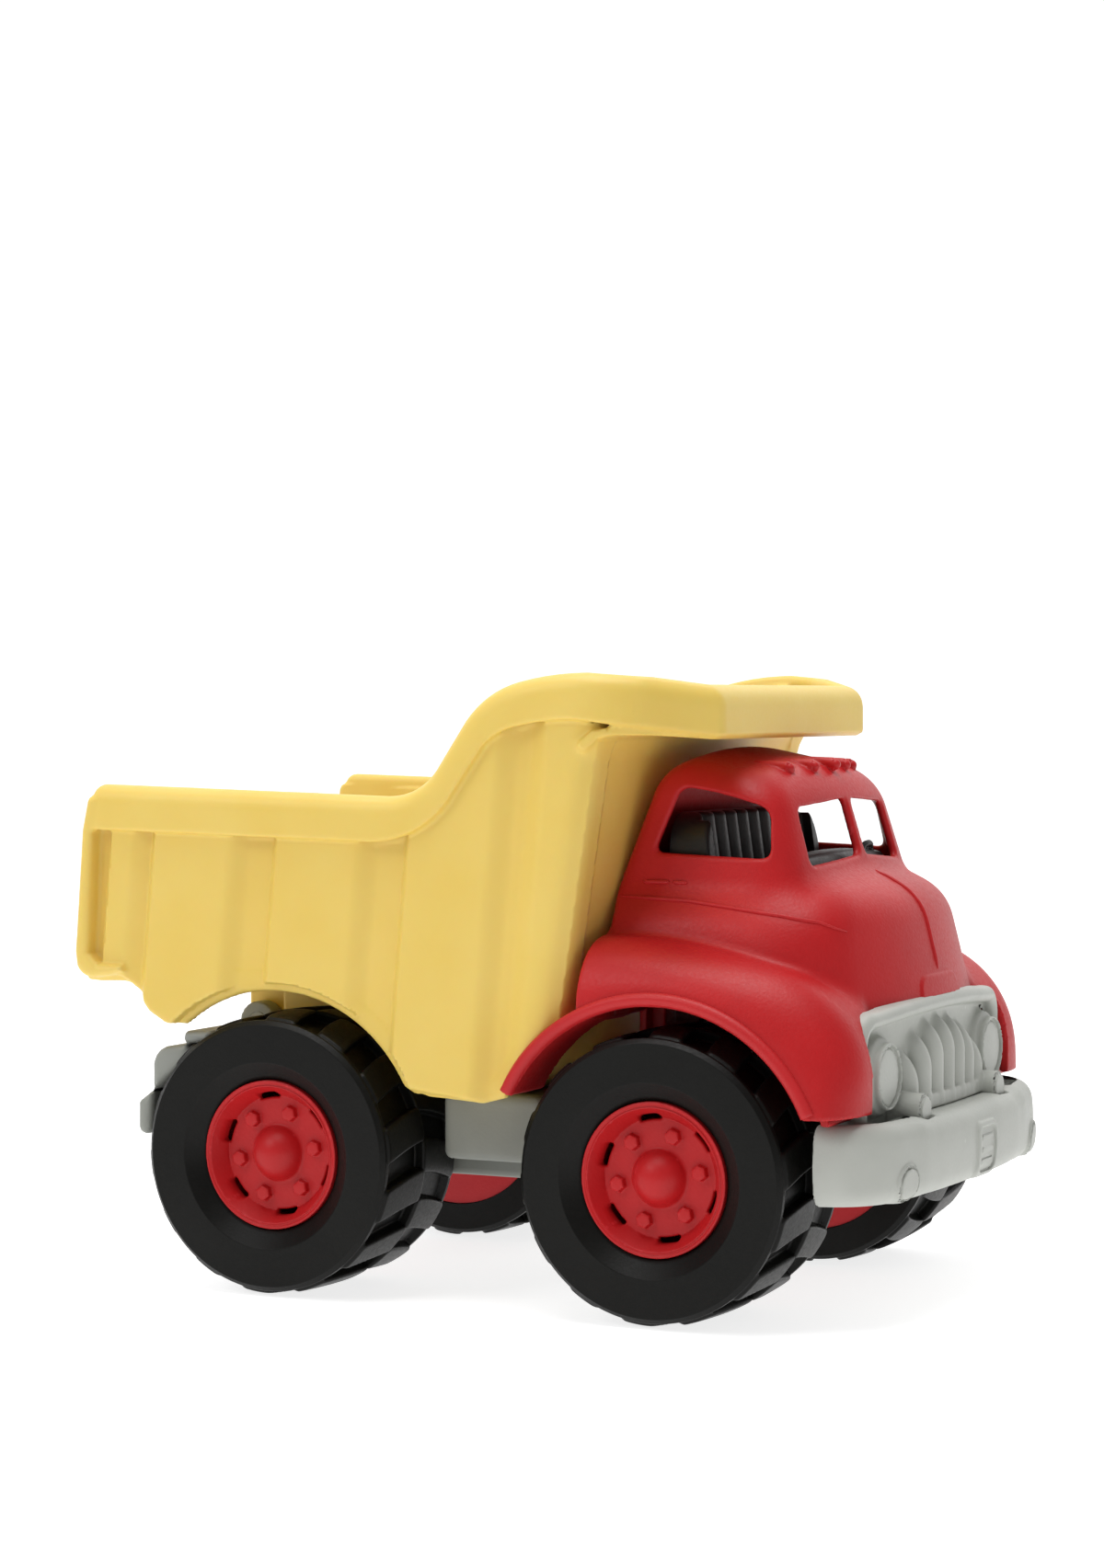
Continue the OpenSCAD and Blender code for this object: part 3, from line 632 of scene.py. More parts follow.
def cab_lines():
    """Raised lines on the cab: crease, door handle, hood ridge, and the bead round each arch."""
    lines = []
    drawn = [(dense(CREASE, 1.2), 0.62, 8)] + [(dense(handle, 0.8), 0.7, 1.5) for handle in HANDLES]
    for outline, radius, fade in drawn:
        for side in (-1.0, 1.0):
            starts = np.stack([outline[:, 0], np.full(len(outline), 38.0 * side), outline[:, 1]], axis=1)
            lines.append((on_skin(starts, (0, side, 0), 40), tapered(len(outline), radius, fade)))
    run = np.arange(97.5, 112.0, 0.8)
    top = on_skin(np.stack([run, 0 * run, 0 * run + 104.0], axis=1), (0, 0, 1), 40)
    drop = np.arange(119.0, 98.6, -0.8)
    face = on_skin(np.stack([0 * drop + 96.0, 0 * drop, drop], axis=1), (1, 0, 0), 40)
    ridge = np.concatenate([top[top[:, 2] > 121.0], face])
    lines.append((ridge, tapered(len(ridge), 0.7, 4)))
    swing = np.radians(np.linspace(153.6, 23.4, 150))
    for side in (-1.0, 1.0):
        lip = np.stack([FRONT_X + (ARCH_R + BEAD_R) * np.cos(swing),
                        0 * swing + side * (FENDER_HALF - 0.3),
                        AXLE_Z + (ARCH_R + BEAD_R) * np.sin(swing)], axis=1)
        lines.append((lip, np.full(len(lip), BEAD_R)))
    return lines


def add_lines(piece, lines):
    """Joins the beads to the cab's own mesh."""
    extras = []
    for index, (path, radii) in enumerate(lines):
        extras.append(make_mesh(f"line_{index}", *swept_bead(path, radii)))
    together = [piece] + extras
    with bpy.context.temp_override(object=piece, active_object=piece, selected_objects=together,
                                   selected_editable_objects=together):
        bpy.ops.object.join()


# ---- grille and bumper

HEADLIGHT = (46.2, 71.2)
TURN_SIGNAL = (33.6, 60.6)
FOG_LIGHT = (56.6, 42.2)
SURROUND = ([(-61.4, 40), (-61.4, 78)] + arc((-51.4, 80), 10, 177, 95, 8)
            + arc((0, -433.7), 526, 95.2, 84.8, 12)
            + arc((51.4, 80), 10, 85, 3, 8) + [(61.4, 78), (61.4, 40)])


def surround_outline(y, z):
    return outline_distance(y, z, SURROUND)


def grille_face(y):
    """X of the surround's front, which bows forward in the middle."""
    return 121.0 - 0.0012 * y * y


def grille_bars(x, y, z):
    """Upright bars that bend back at the top, lower towards the sides."""
    pitch, radius, bend = 9.7, 3.9, 9.0
    bars = []
    for i in range(4):
        top = 83.6 - 0.9 * i * i
        spine_x = grille_face(i * pitch) + 1.6 - radius
        curl = spread(x, z, (spine_x - bend, top - bend)) - bend
        dx = np.where(z > top - bend, curl, x - spine_x)
        dx = np.where((z > top - bend) & (x < spine_x - bend), z - top, dx)
        bars.append(np.sqrt(dx ** 2 + (y - i * pitch) ** 2) - radius)
    return np.maximum(least(*bars), 60.0 - z)


def lamp_bezel(x, y, z, centre, radius, front, lens, base):
    """A round lamp: a bezel with a lens set just inside it."""
    r = spread(y, z, centre)
    body = smooth_max(r - radius, np.maximum(x - front, base - x), 1.4)
    groove = np.maximum(np.abs(r - lens - 0.3) - 0.35, front - 1.6 - x)
    dome = front - 0.7 - 0.006 * r * r
    well = np.maximum(r - lens, dome - x)
    return smooth_max(smooth_max(body, -well, 0.5), -groove, 0.4)


def grille_field(x, y, z):
    """The grille panel: surround, back plate, bars, sill and four lamps."""
    outline = surround_outline(y, z)
    face = grille_face(y)
    plate = smooth_max(np.abs(x - face + 5.9) - 1.3, outline + 1.0, 0.6)
    tube = smooth_max(np.abs(outline + 2.5) - 2.5, np.maximum(x - face, face - 8.0 - x), 3.4)
    panel = smooth_min(plate, tube, 1.6)
    recess = smooth_max(grille_bars(x, y, z), face - 8.2 - x, 0.8)
    panel = smooth_min(panel, recess, 1.4)
    sill = box_field(x, y, z, (face - 7.0, -1, 59.0), (face + 1.5, 29.5, 63.6), 1.2)
    panel = smooth_min(panel, sill, 1.0)
    pod = smooth_max(spread(y, z, HEADLIGHT) - 11.6, np.abs(x - 114.6) - 2.6, 2.4)
    panel = smooth_min(panel, pod, 2.0)
    panel = smooth_min(panel, lamp_bezel(x, y, z, HEADLIGHT, 9.7, 119.9, 8.3, 113.0), 0.8)
    panel = smooth_min(panel, lamp_bezel(x, y, z, TURN_SIGNAL, 4.9, 126.9, 4.0, 112.9), 0.8)
    tongue = box_field(x, y, z, (113.0, -1, 39.2), (115.4, 20, 60), 0.6)
    return np.maximum(np.minimum(np.maximum(panel, 56.0 - z), tongue), 112.9 - x)


def bumper_field(x, y, z):
    """Skin and hollow shell of the bumper, swept back and deeper at its wings."""
    middle, half = 47.8, 11.3
    wing = ramp(36.0, 47.0, y)
    corner = np.sqrt(np.maximum(y - 57.0, 0) ** 2 + np.maximum(x - 105.0, 0) ** 2)
    plan = np.where((y > 57.0) & (x > 105.0), corner - 26.0, np.maximum(x - 131.0, y - 83.0))
    plan = plan + 0.0009 * y * y - 2.0 * (1.0 - ramp(30, 60, y))
    height = np.abs(z - middle - 0.5 * wing) - half - 0.5 * wing
    bulge = 0.012 * (z - middle) ** 2 * (1.0 - 0.3 * wing)
    skin = smooth_max(plan + bulge - 0.6 * wing, height, 6.0)
    hollow = smooth_max(plan + bulge + WALL_T, height + WALL_T, 2.0)
    shell = smooth_max(skin, -hollow, 0.6)
    return skin, shell


def fog_field(y, z, skin):
    """A fog light: a disc proud of the bumper with a groove round its lens."""
    r = spread(y, z, FOG_LIGHT)
    proud = smooth_max(r - 5.9, skin - 1.1, 1.4)
    groove = np.maximum(np.abs(r - 4.75) - 0.35, -(skin - 0.2))
    return smooth_max(np.maximum(proud, -(skin + 2.0)), -groove, 0.4)


def plate_field(x, y, z, skin):
    """A raised frame in the middle of the bumper, with three plain bars in it."""
    middle, pitch = 46.0, 3.6
    frame_d = soft_outline(y, z, [(-8.6, 37.6), (-8.6, 54.4), (8.6, 54.4), (8.6, 37.6)], 3.4)
    plate = smooth_max(np.maximum(frame_d, -(skin + 2.0)), skin - 0.95, 1.0)
    plate = smooth_max(plate, -np.maximum(frame_d + 1.7, -(skin - 0.1)), 0.5)
    from_bar = (z - middle) - np.round(np.clip((z - middle) / pitch, -1, 1)) * pitch
    bars = box_field(x * 0, y, from_bar, (-1, -4.6, -0.75), (1, 4.6, 0.75), 0.5)
    return np.minimum(plate, np.maximum(bars, np.maximum(skin - 0.5, -(skin + 1.0))))


def bumper_trim(x, y, z):
    """The bumper with its lights and plate, open behind and cut round the grille."""
    skin, shell = bumper_field(x, y, z)
    shell = smooth_min(smooth_min(shell, fog_field(y, z, skin), 0.5), plate_field(x, y, z, skin), 0.5)
    back = 107.7 - x
    slot = most(y - 61.6, x - 121.9, 54.0 - z)
    signal = np.maximum(spread(y, z, TURN_SIGNAL) - 5.1, x - 127.3)
    shell = most(shell, back, -np.minimum(slot, signal))
    web = box_field(x, y, z, (107.8, 24.7, 38), (129.5, 27.3, 54), 0.5)
    return np.minimum(shell, web)


# ---- chassis

TUB_HALF = 36.0
TUB = [(-104, 47), (-84, 33), (93.4, 33), (107.4, 39), (107.4, 60), (-104, 60)]
MUDGUARD = ([(-88, 78.6), (-98, 78.2)] + arc((-104, 68.6), 9.4, 80, 8, 5)
            + [(-113.7, 56)] + arc((-111.2, 48.4), 2.6, 190, 340, 5) + [(-108.5, 58)]
            + arc((-102, 67), 6.6, 170, 110, 4) + [(-96, 74.4), (-88, 75.2)])
KNEE = [(-108.2, 56), (-96, 56), (-94, 75.4), (-101, 74), (-107.4, 66)]
EAR_R = 6.4


def tub_field(x, y, z):
    """The middle of the chassis: an open tub with cross ribs and a box at each side."""
    outer = smooth_max(outline_distance(x, z, TUB), y - TUB_HALF, 2.2)
    hollow = most(np.abs(x - 1.7) - 103.1, y - TUB_HALF + 2.6, z - 57.4)
    tub = smooth_max(outer, -hollow, 0.8)
    for rib in (-84, -40, 0, 38, 84):
        tub = np.minimum(tub, box_field(x, y, z, (rib - 1.2, -1, 45), (rib + 1.2, TUB_HALF - 1, 59), 0.5))
    side = box_field(x, y, z, (-18.6, 30, 41), (14.9, 60, 61.7), 3.0)
    pocket = box_field(x, y, z, (-16.2, 36, 20), (12.5, 57.6, 59.3), 2.0)
    return smooth_min(tub, np.maximum(smooth_max(side, -pocket, 0.6), 35.0 - y), 1.2)


def chassis_field(x, y, z):
    """Tub, axle bosses, mudguards and hinge ears, with the axle and pin holes."""
    tub = tub_field(x, y, z)
    for axle in (FRONT_AXLE, REAR_AXLE):
        tub = smooth_min(tub, rod(x, z, y, axle, 8.5, 24.0, 39.0, 0.8), 1.2)
    guard = smooth_max(outline_distance(x, z, MUDGUARD), np.abs(y - 55.3) - 25.3, 2.6)
    tub = smooth_min(tub, guard, 1.5)
    knee = np.maximum(outline_distance(x, z, KNEE), np.abs(y - 33.0) - 3.0)
    tub = smooth_min(tub, knee, 1.0)
    ear = outline_distance(x, z, [(PIVOT_X - 4, 50), (PIVOT_X + 16, 50), (PIVOT_X + EAR_R, PIVOT_Z),
                                  (PIVOT_X - EAR_R, PIVOT_Z)])
    ear = np.minimum(ear, spread(x, z, PIVOT) - EAR_R)
    tub = smooth_min(tub, smooth_max(ear, np.abs(y - 27.95) - 3.05, 0.6), 0.8)
    for axle in (FRONT_AXLE, REAR_AXLE):
        tub = np.maximum(tub, 4.4 - spread(x, z, axle))
    return np.maximum(tub, 3.0 - spread(x, z, PIVOT))


# ---- interior

SEAT_HALF = 45.0


def seat_field(x, y, z):
    """Bench seat: a cushion and a reclined back in upright panels, with a bolster at each end."""
    pitch = 8.8
    seam = y - pitch * np.round(y / pitch)
    flute = 1.3 * np.abs(np.sin(math.pi * seam / pitch)) - 0.8 * np.exp(-(seam / 0.6) ** 2)
    reclined = x + 0.145 * (z - 118.0)
    back = smooth_max(reclined - 59.8 - flute, 50.6 - reclined, 0.8)
    back = np.maximum(back, y - SEAT_HALF + 2.0)
    bolster = np.maximum(smooth_max(reclined - 64.4, 50.6 - reclined, 2.0), np.abs(y - SEAT_HALF + 2.6) - 2.6)
    upper = smooth_min(back, bolster, 0.6)
    ends = soft_outline(y, z, [(-SEAT_HALF, 100), (-SEAT_HALF, 139), (-SEAT_HALF + 6, 146.2),
                               (SEAT_HALF - 6, 146.2), (SEAT_HALF, 139), (SEAT_HALF, 100)], 3.5)
    upper = smooth_max(smooth_max(upper, ends, 1.6), 117.8 - z, 0.6)
    cushion = box_field(x, y, z, (56, -1, 117.7), (76, 41, 123.4), 2.0)
    return smooth_min(upper, cushion, 1.0)


def steering_field(x, y, z):
    """A tilted steering wheel with three spokes, its hub and its column."""
    tilt, radius, third = math.radians(28), 6.0, 2 * math.pi / 3
    dx, dy, dz = x - 83.4, y - 24.0, z - 130.0
    along = dx * math.cos(tilt) - dz * math.sin(tilt)
    up = dz * math.cos(tilt) + dx * math.sin(tilt)
    r = np.sqrt(dy ** 2 + up ** 2)
    wheel = np.sqrt((r - radius) ** 2 + along ** 2) - 1.0
    hub = smooth_max(r - 2.2, np.abs(along) - 1.0, 0.6)
    turn = np.mod(np.arctan2(up, dy) - math.pi / 2 + third / 2, third) - third / 2
    spoke = np.sqrt((r * np.sin(turn)) ** 2 + along ** 2) - 0.8
    spoke = most(spoke, r - radius, -r * np.cos(turn))
    return least(wheel, hub, spoke, most(r - 1.5, -along, along - 4.0))


def tray_field(x, y, z):
    """Cab floor on four legs, with the dashboard and the steering wheel on its left."""
    s = np.abs(y)
    tray = box_field(x, s, z, (44, -1, 115.1), (96, 44, 117.6), 0.8)
    dash_top = 134.2 - 0.0012 * s * s
    dash_front = (x - 89.2 + 0.0023 * s * s + 0.3 * (z - 133.0)) / 1.05
    dash_ends = most(s - 39.5, 116 - z, 80.4 - x)
    dash = smooth_max(smooth_max(dash_front, z - dash_top, 3.0), dash_ends, 1.0)
    rear_leg, front_leg = (rod(x, s, z, (leg_x, 24), 3.6, 60.0, 116, 0.4) for leg_x in (54, 88))
    legs = np.minimum(rear_leg, front_leg)
    return smooth_min(smooth_min(np.minimum(tray, legs), dash, 1.5), steering_field(x, y, z), 0.5)


# ---- wheels

LUGS = 14
LUG_BASE_R = WHEEL_R - 3.6
RIM_R = 22.8
DISH = 8.6
LIP_IN = 3.2
TYRE_STEP = 0.55
RIM_STEP = 0.42
KEY_SPAN = 4096  # more than the grid cells along any axis
TYRE_SECTION = [(RIM_R, TYRE_W - 9), (RIM_R, TYRE_W - 4.4), (28.2, TYRE_W), (39.4, TYRE_W),
                (40.8, TYRE_W - 1.4), (40.8, TYRE_W - 3), (LUG_BASE_R, TYRE_W - 4.4), (LUG_BASE_R, 4.4),
                (40.8, 3.0), (40.8, 1.4), (39.4, 0), (31, 0), (31, 2.8), (36.2, 4.6),
                (36.2, TYRE_W - 4.6), (28.9, TYRE_W - 2.8), (25.2, TYRE_W - 5.6), (25.2, TYRE_W - 9)]


def tyre_field(arc_angle, radius, w):
    """A tyre in cylindrical terms: hollow section with two staggered rows of slanted lugs."""
    section = outline_distance(radius, w, TYRE_SECTION)
    pitch = 2 * math.pi / LUGS
    middle = TYRE_W / 2
    crown = radius - (WHEEL_R - 0.0016 * (w - middle) ** 2)
    rows = []
    for side, phase in ((1, 0.0), (-1, 0.5)):
        sweep = side * (w - middle) / middle
        centre = phase * pitch - 0.13 * np.clip(sweep, 0, 1) ** 1.5
        local = np.mod(arc_angle - centre + pitch / 2, pitch) - pitch / 2
        width = np.abs(local) * LUG_BASE_R - 4.9
        ends = np.maximum(-side * (w - middle) - 0.6, side * (w - middle) - middle + 2.2)
        edge = smooth_max(width, ends, 1.6)
        rows.append(smooth_max(smooth_max(edge, crown, 1.0), LUG_BASE_R - 1.4 - radius, 0.3))
    return smooth_min(section, least(*rows), 0.8)


def wheel_ring(field, sectors, step, r_low, r_high, w_low, w_high):
    """The field on a cylindrical grid over one sector, with a cell to spare at both ends."""
    step *= COARSER
    pitch = 2 * math.pi / sectors
    count = int(math.ceil(pitch * r_high / step))
    angle = (np.arange(count * sectors + 1) * (pitch / count)).astype(np.float32)
    angle = angle[:count + 3] - pitch / count
    radius, w = axis_samples(r_low, r_high, step), axis_samples(w_low, w_high, step)
    return evaluate(field, angle, radius, w), (angle, radius, w), pitch, count


def cylindrical(points):
    """(angle, radius, w) to local x, y, z with the axis along Z."""
    a, r, w = points.T
    return np.stack([r * np.cos(a), r * np.sin(a), w], axis=1)


def tyre_slope(points, reach=0.04):
    """Slope of the tyre's field along the tread, outwards and across."""
    parts = []
    for c, scale in enumerate((LUG_BASE_R, 1.0, 1.0)):
        step = np.zeros(3)
        step[c] = reach / scale
        ahead, behind = points + step, points - step
        parts.append((tyre_field(*ahead.T) - tyre_field(*behind.T)) / (2 * reach))
    return np.stack(parts, axis=1)


def tyre_sector():
    """Vertices, faces and grid cells of one sector of a tyre."""
    values, axes, pitch, count = wheel_ring(tyre_field, LUGS, TYRE_STEP, RIM_R, WHEEL_R, 0.0, TYRE_W)
    points, faces = surface_net(values, axes)
    cells = np.stack([np.floor((points[:, c] - axes[c][0]) / (axes[c][1] - axes[c][0]))
                      for c in range(3)], axis=1)
    for _ in range(2):
        shift = newton_shift(tyre_slope(points), tyre_field(*points.T), 0.1, 0.5 * TYRE_STEP)
        points = points - shift / np.array([LUG_BASE_R, 1.0, 1.0])
    return points, faces, cells.astype(np.int64), pitch, count


def build_tyre_mesh():
    """One tyre with its axis along Z and its inner face at 0: vertices, quads and normals."""
    points, faces, cells, pitch, count = tyre_sector()
    layer = cells[faces][:, :, 0].min(axis=1)
    faces = faces[(layer >= 1) & (layer <= count)][:, ::-1]
    used, faces = np.unique(faces, return_inverse=True)
    faces = faces.reshape(-1, 4)
    points, cells = points[used], cells[used]
    along, out, across = tyre_slope(points).T
    all_points, all_faces, all_normals, keys = [], [], [], []
    for i in range(LUGS):
        turned = points.copy()
        turned[:, 0] += i * pitch
        all_points.append(cylindrical(turned))
        cos, sin = np.cos(turned[:, 0]), np.sin(turned[:, 0])
        all_normals.append(np.stack([out * cos - along * sin, out * sin + along * cos, across], axis=1))
        all_faces.append(faces + i * len(points))
        turn = (cells[:, 0] + i * count) % (count * LUGS)
        keys.append((turn * KEY_SPAN + cells[:, 1]) * KEY_SPAN + cells[:, 2])
    _, first, weld = np.unique(np.concatenate(keys), return_index=True, return_inverse=True)
    points, faces, normals = (np.concatenate(part) for part in (all_points, all_faces, all_normals))
    return points[first], weld[faces], normals[first]


def fold(x, y, count, offset):
    """Turns a point into the first of count equal sectors, centred on the angle offset."""
    pitch = 2 * math.pi / count
    r = np.sqrt(x * x + y * y)
    a = np.mod(np.arctan2(y, x) - offset + pitch / 2, pitch) - pitch / 2
    return r * np.cos(a), r * np.sin(a)


WHEEL_SECTION = [(-4, TYRE_W - DISH), (17.4, TYRE_W - DISH), (20.6, TYRE_W - LIP_IN),
                 (22.75, TYRE_W - LIP_IN), (22.75, 18), (20.2, 18), (20.2, TYRE_W - 10),
                 (16.6, TYRE_W - DISH - 2.4), (8, TYRE_W - DISH - 2.4), (8, 22), (-4, 22)]


def wheel_disc_field(x, y, z):
    """The wheel's dished centre, axis along Z, with six slots, six nuts and a domed cap."""
    floor_w = TYRE_W - DISH
    r = np.sqrt(x * x + y * y)
    disc = outline_distance(r, z, WHEEL_SECTION)
    disc = smooth_max(disc, r - 22.75, 1.0)
    groove = np.sqrt((r - 21.3) ** 2 + (z - TYRE_W + LIP_IN) ** 2) - 0.35
    disc = smooth_max(disc, -groove, 0.3)
    u, v = fold(x, y, 6, math.radians(10))
    slot = np.sqrt((r - 17.9) ** 2 + np.maximum(np.abs(v) - 2.7, 0) ** 2) - 0.85
    disc = smooth_max(disc, -np.maximum(slot, floor_w - 6 - z), 0.8)
    u, v = fold(x, y, 6, math.radians(40))
    nut_x, nut_y = u - 13.0, v
    hexagon = most(np.abs(nut_x), np.abs(nut_x * 0.5 + nut_y * 0.866), np.abs(nut_x * 0.5 - nut_y * 0.866))
    nut = smooth_max(hexagon - 2.1, np.abs(z - floor_w) - 2.4 + 0.02 * (nut_x ** 2 + nut_y ** 2), 0.7)
    disc = smooth_min(disc, nut, 0.6)
    dome = np.sqrt(r * r + (z - floor_w + 1.4) ** 2) - 8.4
    dome = np.maximum(dome, floor_w - 1.0 - z)
    disc = smooth_min(disc, dome, 1.0)
    return np.maximum(disc, -np.maximum(r - 4.3, z - floor_w + 5.0))


# ---- placing the pieces

def on_axle(points, axle_x, side):
    """Local wheel points, axis along Z, to their place on an axle: side 1 is left, -1 right."""
    x, y, z = points.T
    inner = TYRE_HIGH[1] - TYRE_W
    return np.stack([axle_x - y, side * (inner + z), AXLE_Z - side * x], axis=1)


def finish_piece(piece, body, slot, replaced, materials):
    """Gives a piece its material, its slot, the node that it replaces and its body."""
    piece.data.materials.clear()
    piece.data.materials.append(materials[slot])
    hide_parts(replaced)
    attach(piece, body)


def build_rim_mesh():
    """One wheel disc in the same place as the tyre's mesh: vertices, quads and normals."""
    step = RIM_STEP * COARSER
    low, high = (-RIM_R, -RIM_R, 17.8), (RIM_R, RIM_R, TYRE_W)
    points, faces = surface_net(*sample_grid(wheel_disc_field, low, high, step, False))
    points = settle(wheel_disc_field, points, False, step)
    return points, faces, gradient(wheel_disc_field, points, False, 0.12)


def wheel_pieces(materials):
    """Tyres and wheel discs at the four places."""
    tyre, rim = build_tyre_mesh(), build_rim_mesh()
    for end, axle_x in (("front", FRONT_X), ("rear", REAR_X)):
        for name, side in (("right", -1), ("left", 1)):
            for kind, slot, shape in (("tyre", "tyre_black", tyre), ("rim", "wheel_red", rim)):
                points, faces, slopes = shape
                piece = make_mesh(f"looks_{kind}_{end}_{name}", on_axle(points, axle_x, side), faces)
                aim = on_axle(slopes, 0, side) - on_axle(np.zeros((1, 3)), 0, side)
                piece.data.normals_split_custom_set_from_vertices(unit_rows(aim))
                finish_piece(piece, f"{end}_wheels", slot, f"{kind}_{end}_{name}", materials)


# ---- materials

def put(made, **values):
    """Sets a node's own sockets, named with _ for a space."""
    for key, value in values.items():
        made.inputs[key.replace("_", " ")].default_value = value


def node(tree, kind, **inputs):
    made = tree.nodes.new(kind)
    put(made, **inputs)
    return made


def link(tree, a, out, b, into):
    tree.links.new(a.outputs[out], b.inputs[into])


def noise(tree, coords, scale, detail, rough=0.5):
    made = node(tree, "ShaderNodeTexNoise", Scale=scale, Detail=detail, Roughness=rough)
    link(tree, coords, "Object", made, "Vector")
    return made


def map_range(tree, source, out, low, high, to_low, to_high):
    made = node(tree, "ShaderNodeMapRange", From_Min=low, From_Max=high, To_Min=to_low, To_Max=to_high)
    link(tree, source, out, made, "Value")
    return made


def mix_colour(tree, factor, factor_out, a, b):
    """A colour mix. a and b are colours or (node, output) pairs."""
    made = tree.nodes.new("ShaderNodeMix")
    made.data_type = "RGBA"
    link(tree, factor, factor_out, made, 0)
    for index, value in ((6, a), (7, b)):
        if len(value) == 2:
            tree.links.new(value[0].outputs[value[1]], made.inputs[index])
        else:
            made.inputs[index].default_value = value
    return made


def rgb(code):
    """Scene-linear colour of an sRGB hex code."""
    values = [int(code[i:i + 2], 16) / 255 for i in (1, 3, 5)]
    return [v / 12.92 if v <= 0.04045 else ((v + 0.055) / 1.055) ** 2.4 for v in values] + [1.0]


def moulded_plastic(name, colour, deep, worn, roughness, grain_mm, grain_depth, specular, glow):
    """Moulded plastic: tone that drifts, grain in the surface, and edges that are worn paler."""
    material = bpy.data.materials.new(name)
    material.use_nodes = True
    tree = material.node_tree
    shader = tree.nodes["Principled BSDF"]
    coords = tree.nodes.new("ShaderNodeTexCoord")
    drift = noise(tree, coords, 38.0, 4.0)
    tone = map_range(tree, drift, "Fac", 0.35, 0.65, 0.0, 1.0)
    base = mix_colour(tree, tone, "Result", rgb(colour), rgb(deep))
    edges = tree.nodes.new("ShaderNodeNewGeometry")
    wear = map_range(tree, edges, "Pointiness", 0.53, 0.62, 0.0, 0.55)
    worn_base = mix_colour(tree, wear, "Result", (base, 2), rgb(worn))
    link(tree, worn_base, 2, shader, "Base Color")
    speckle = noise(tree, coords, 900.0, 2.0)
    gloss = map_range(tree, speckle, "Fac", 0.3, 0.7, roughness - 0.05, roughness + 0.06)
    link(tree, gloss, "Result", shader, "Roughness")
    cells = node(tree, "ShaderNodeTexVoronoi", Scale=1000.0 / grain_mm)
    cells.feature = "SMOOTH_F1"
    link(tree, coords, "Object", cells, "Vector")
    fine = noise(tree, coords, 2200.0 / grain_mm, 2.0)
    height = tree.nodes.new("ShaderNodeMath")
    height.operation = "MULTIPLY_ADD"
    height.inputs[1].default_value = 0.5
    link(tree, fine, "Fac", height, 0)
    link(tree, cells, "Distance", height, 2)
    bump = node(tree, "ShaderNodeBump", Strength=grain_depth, Distance=0.0001)
    link(tree, height, "Value", bump, "Height")
    link(tree, bump, "Normal", shader, "Normal")
    put(shader, Specular_IOR_Level=specular)
    if glow:
        put(shader, Subsurface_Weight=glow, Subsurface_Radius=(1.0, 0.45, 0.1), Subsurface_Scale=0.0025)
    return material


# Slot: colour, deeper tone, worn tone, roughness, grain size in mm, grain depth, specular, glow
PLASTICS = {
    "bed_yellow": ("#E7C968", "#E5C560", "#F0D888", 0.45, 1.1, 0.12, 0.4, 0.2),
    "cab_red": ("#BC1D20", "#B21A1D", "#CB3438", 0.44, 0.9, 0.5, 0.28, 0.0),
    "wheel_red": ("#BE1C20", "#B21A1D", "#CC343A", 0.42, 0.9, 0.4, 0.28, 0.0),
    "trim_grey": ("#B6B8B1", "#AEB0A9", "#C8CAC4", 0.48, 0.8, 0.35, 0.5, 0.0),
    "chassis_grey": ("#8F918A", "#868881", "#A3A59F", 0.48, 0.9, 0.3, 0.5, 0.0),
    "axle_grey": ("#8E918B", "#858882", "#A6A8A2", 0.4, 1.2, 0.15, 0.5, 0.0),
    "tyre_black": ("#11110F", "#0D0D0B", "#1C1C18", 0.4, 0.7, 0.3, 0.16, 0.0),
    "interior_black": ("#191917", "#131311", "#2A2A27", 0.42, 0.8, 0.35, 0.5, 0.0),
}


def dress_carried_nodes(materials):
    """CAD nodes that stay visible get their moulded plastic."""
    slots = {"front_axle": "axle_grey", "rear_axle": "axle_grey", "hinge_pins": "chassis_grey"}
    slots.update({f"inner_hub_{end}_{side}": "wheel_red" for end in ("front", "rear")
                  for side in ("right", "left")})
    for name, slot in slots.items():
        for material_slot in frame["nodes"][name].material_slots:
            material_slot.material = materials[slot]


# ---- camera, floor and light

CAMERA_MM = (456.79, -972.99, 179.99)
CAMERA_YAW = 25.664
CAMERA_PITCH = 1.4327
FOCAL_MM = 78.61
LIGHT_TARGET = (0.0, 0.0, 0.1)


def add_camera():
    data = bpy.data.cameras.new("camera")
    data.lens = FOCAL_MM
    data.clip_start = 0.05
    data.clip_end = 50.0
    camera = bpy.data.objects.new("camera", data)
    bpy.context.scene.collection.objects.link(camera)
    camera.location = [v * MM for v in CAMERA_MM]
    camera.rotation_euler = (math.radians(90 - CAMERA_PITCH), 0, math.radians(CAMERA_YAW))
    bpy.context.scene.camera = camera


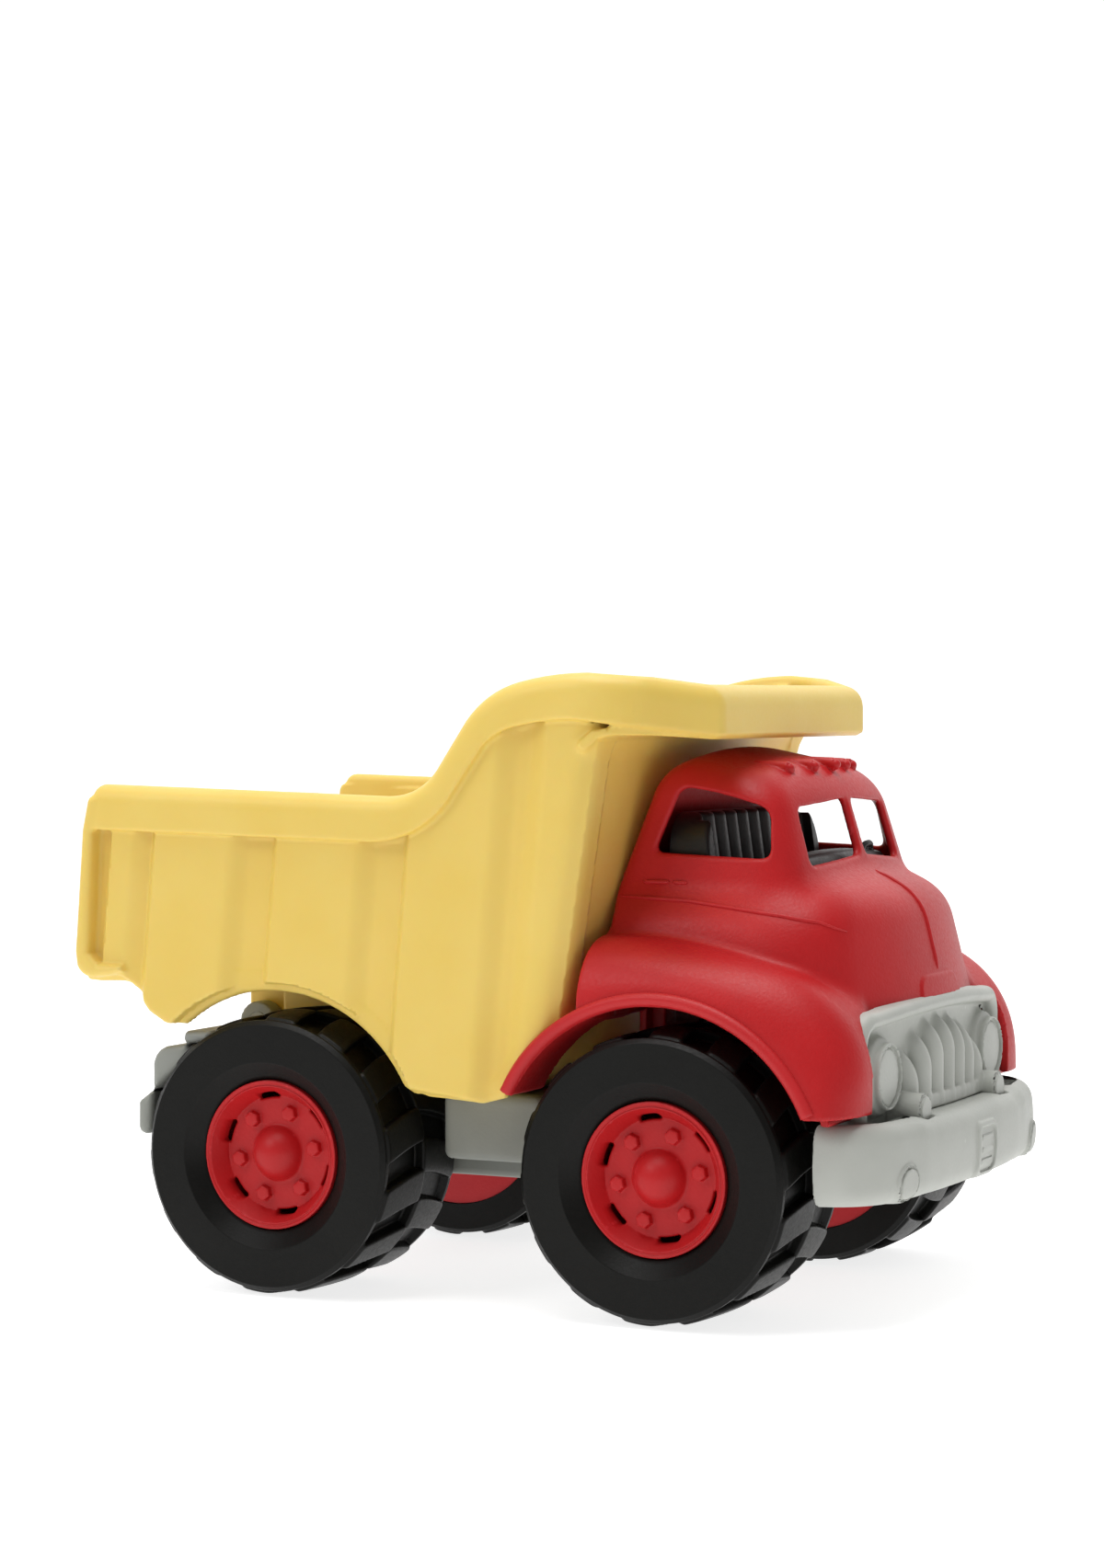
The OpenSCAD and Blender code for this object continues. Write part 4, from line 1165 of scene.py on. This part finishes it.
def add_floor():
    """A pale sweep: level under the truck, then a wall far behind it."""
    half, back, radius = 6.0, 4.0, 1.5
    profile = [(-half, 0.0), (back - radius, 0.0)]
    profile += [(back - radius + radius * math.sin(a), radius * (1 - math.cos(a)))
                for a in np.linspace(0.1, math.pi / 2, 10)]
    profile += [(back, 5.0)]
    yaw = math.radians(CAMERA_YAW)
    forward = np.array([-math.sin(yaw), math.cos(yaw)])
    right = np.array([math.cos(yaw), math.sin(yaw)])
    points, faces = [], []
    for i, (along, z) in enumerate(profile):
        for side in (-8.0, 8.0):
            place = forward * along + right * side
            points.append((place[0] / MM, place[1] / MM, z / MM))
        if i:
            faces.append((2 * i - 2, 2 * i - 1, 2 * i + 1, 2 * i))
    floor = make_mesh("studio_floor", np.array(points), np.array(faces))
    material = bpy.data.materials.new("studio floor")
    material.use_nodes = True
    put(material.node_tree.nodes["Principled BSDF"], Base_Color=(0.5, 0.5, 0.5, 1.0), Roughness=0.8,
        Emission_Color=(1.0, 1.0, 1.0, 1.0), Emission_Strength=0.8)
    floor.data.materials.append(material)


def add_area(name, place, size, power):
    """A soft rectangular light, aimed at the truck's middle."""
    data = bpy.data.lights.new(name, "AREA")
    data.shape = "RECTANGLE"
    data.size, data.size_y = size
    data.energy = power
    lamp = bpy.data.objects.new(name, data)
    bpy.context.scene.collection.objects.link(lamp)
    lamp.location = place
    aim = Vector(LIGHT_TARGET) - Vector(place)
    lamp.rotation_euler = aim.to_track_quat("-Z", "Y").to_euler()


def add_lights():
    world = bpy.data.worlds.new("studio")
    bpy.context.scene.world = world
    world.use_nodes = True
    put(world.node_tree.nodes["Background"], Color=(1.0, 1.0, 1.0, 1.0), Strength=0.25)
    bpy.context.scene.view_settings.view_transform = "Standard"
    add_area("overhead", (-0.1, -0.1, 1.6), (1.3, 1.1), 23.0)
    add_area("key", (-0.8, -1.2, 1.2), (0.7, 0.6), 7.0)
    add_area("back", (0.2, 1.4, 1.2), (1.4, 0.8), 3.0)


# ---- the whole object

def body_pieces(materials):
    """The moulded pieces other than the wheels: node, body, slot, field, box and grid step."""
    for name, body, slot, field, low, high, step in (
            ("dump_bed", "bed", "bed_yellow", bed_field, BED_LOW, BED_HIGH, 1.05),
            ("cab_shell", "truck", "cab_red", cab_field, CAB_LOW, CAB_HIGH + CAB_ROOM, 0.8),
            ("grille_panel", "truck", "trim_grey", grille_field, GRILLE_LOW, GRILLE_HIGH, 0.55),
            ("front_bumper", "truck", "trim_grey", bumper_trim, BUMPER_LOW, BUMPER_HIGH, 0.55),
            ("chassis_frame", "truck", "chassis_grey", chassis_field, *node_box("chassis_frame"), 1.2),
            ("seat_bench", "truck", "interior_black", seat_field, (50, -46, 117), (78, 46, 147), 0.6),
            ("interior_tray", "truck", "interior_black", tray_field, (44, -44, 60), (97, 44, 138), 0.8)):
        piece = mould(f"looks_{name}", field, low, high, step, mirrored=name != "interior_tray")
        if name == "cab_shell":
            add_lines(piece, cab_lines())
        finish_piece(piece, body, slot, name, materials)


add_camera()
add_floor()
add_lights()
MATERIALS = {slot: moulded_plastic(slot.replace("_", " "), *look) for slot, look in PLASTICS.items()}
body_pieces(MATERIALS)
wheel_pieces(MATERIALS)
dress_carried_nodes(MATERIALS)
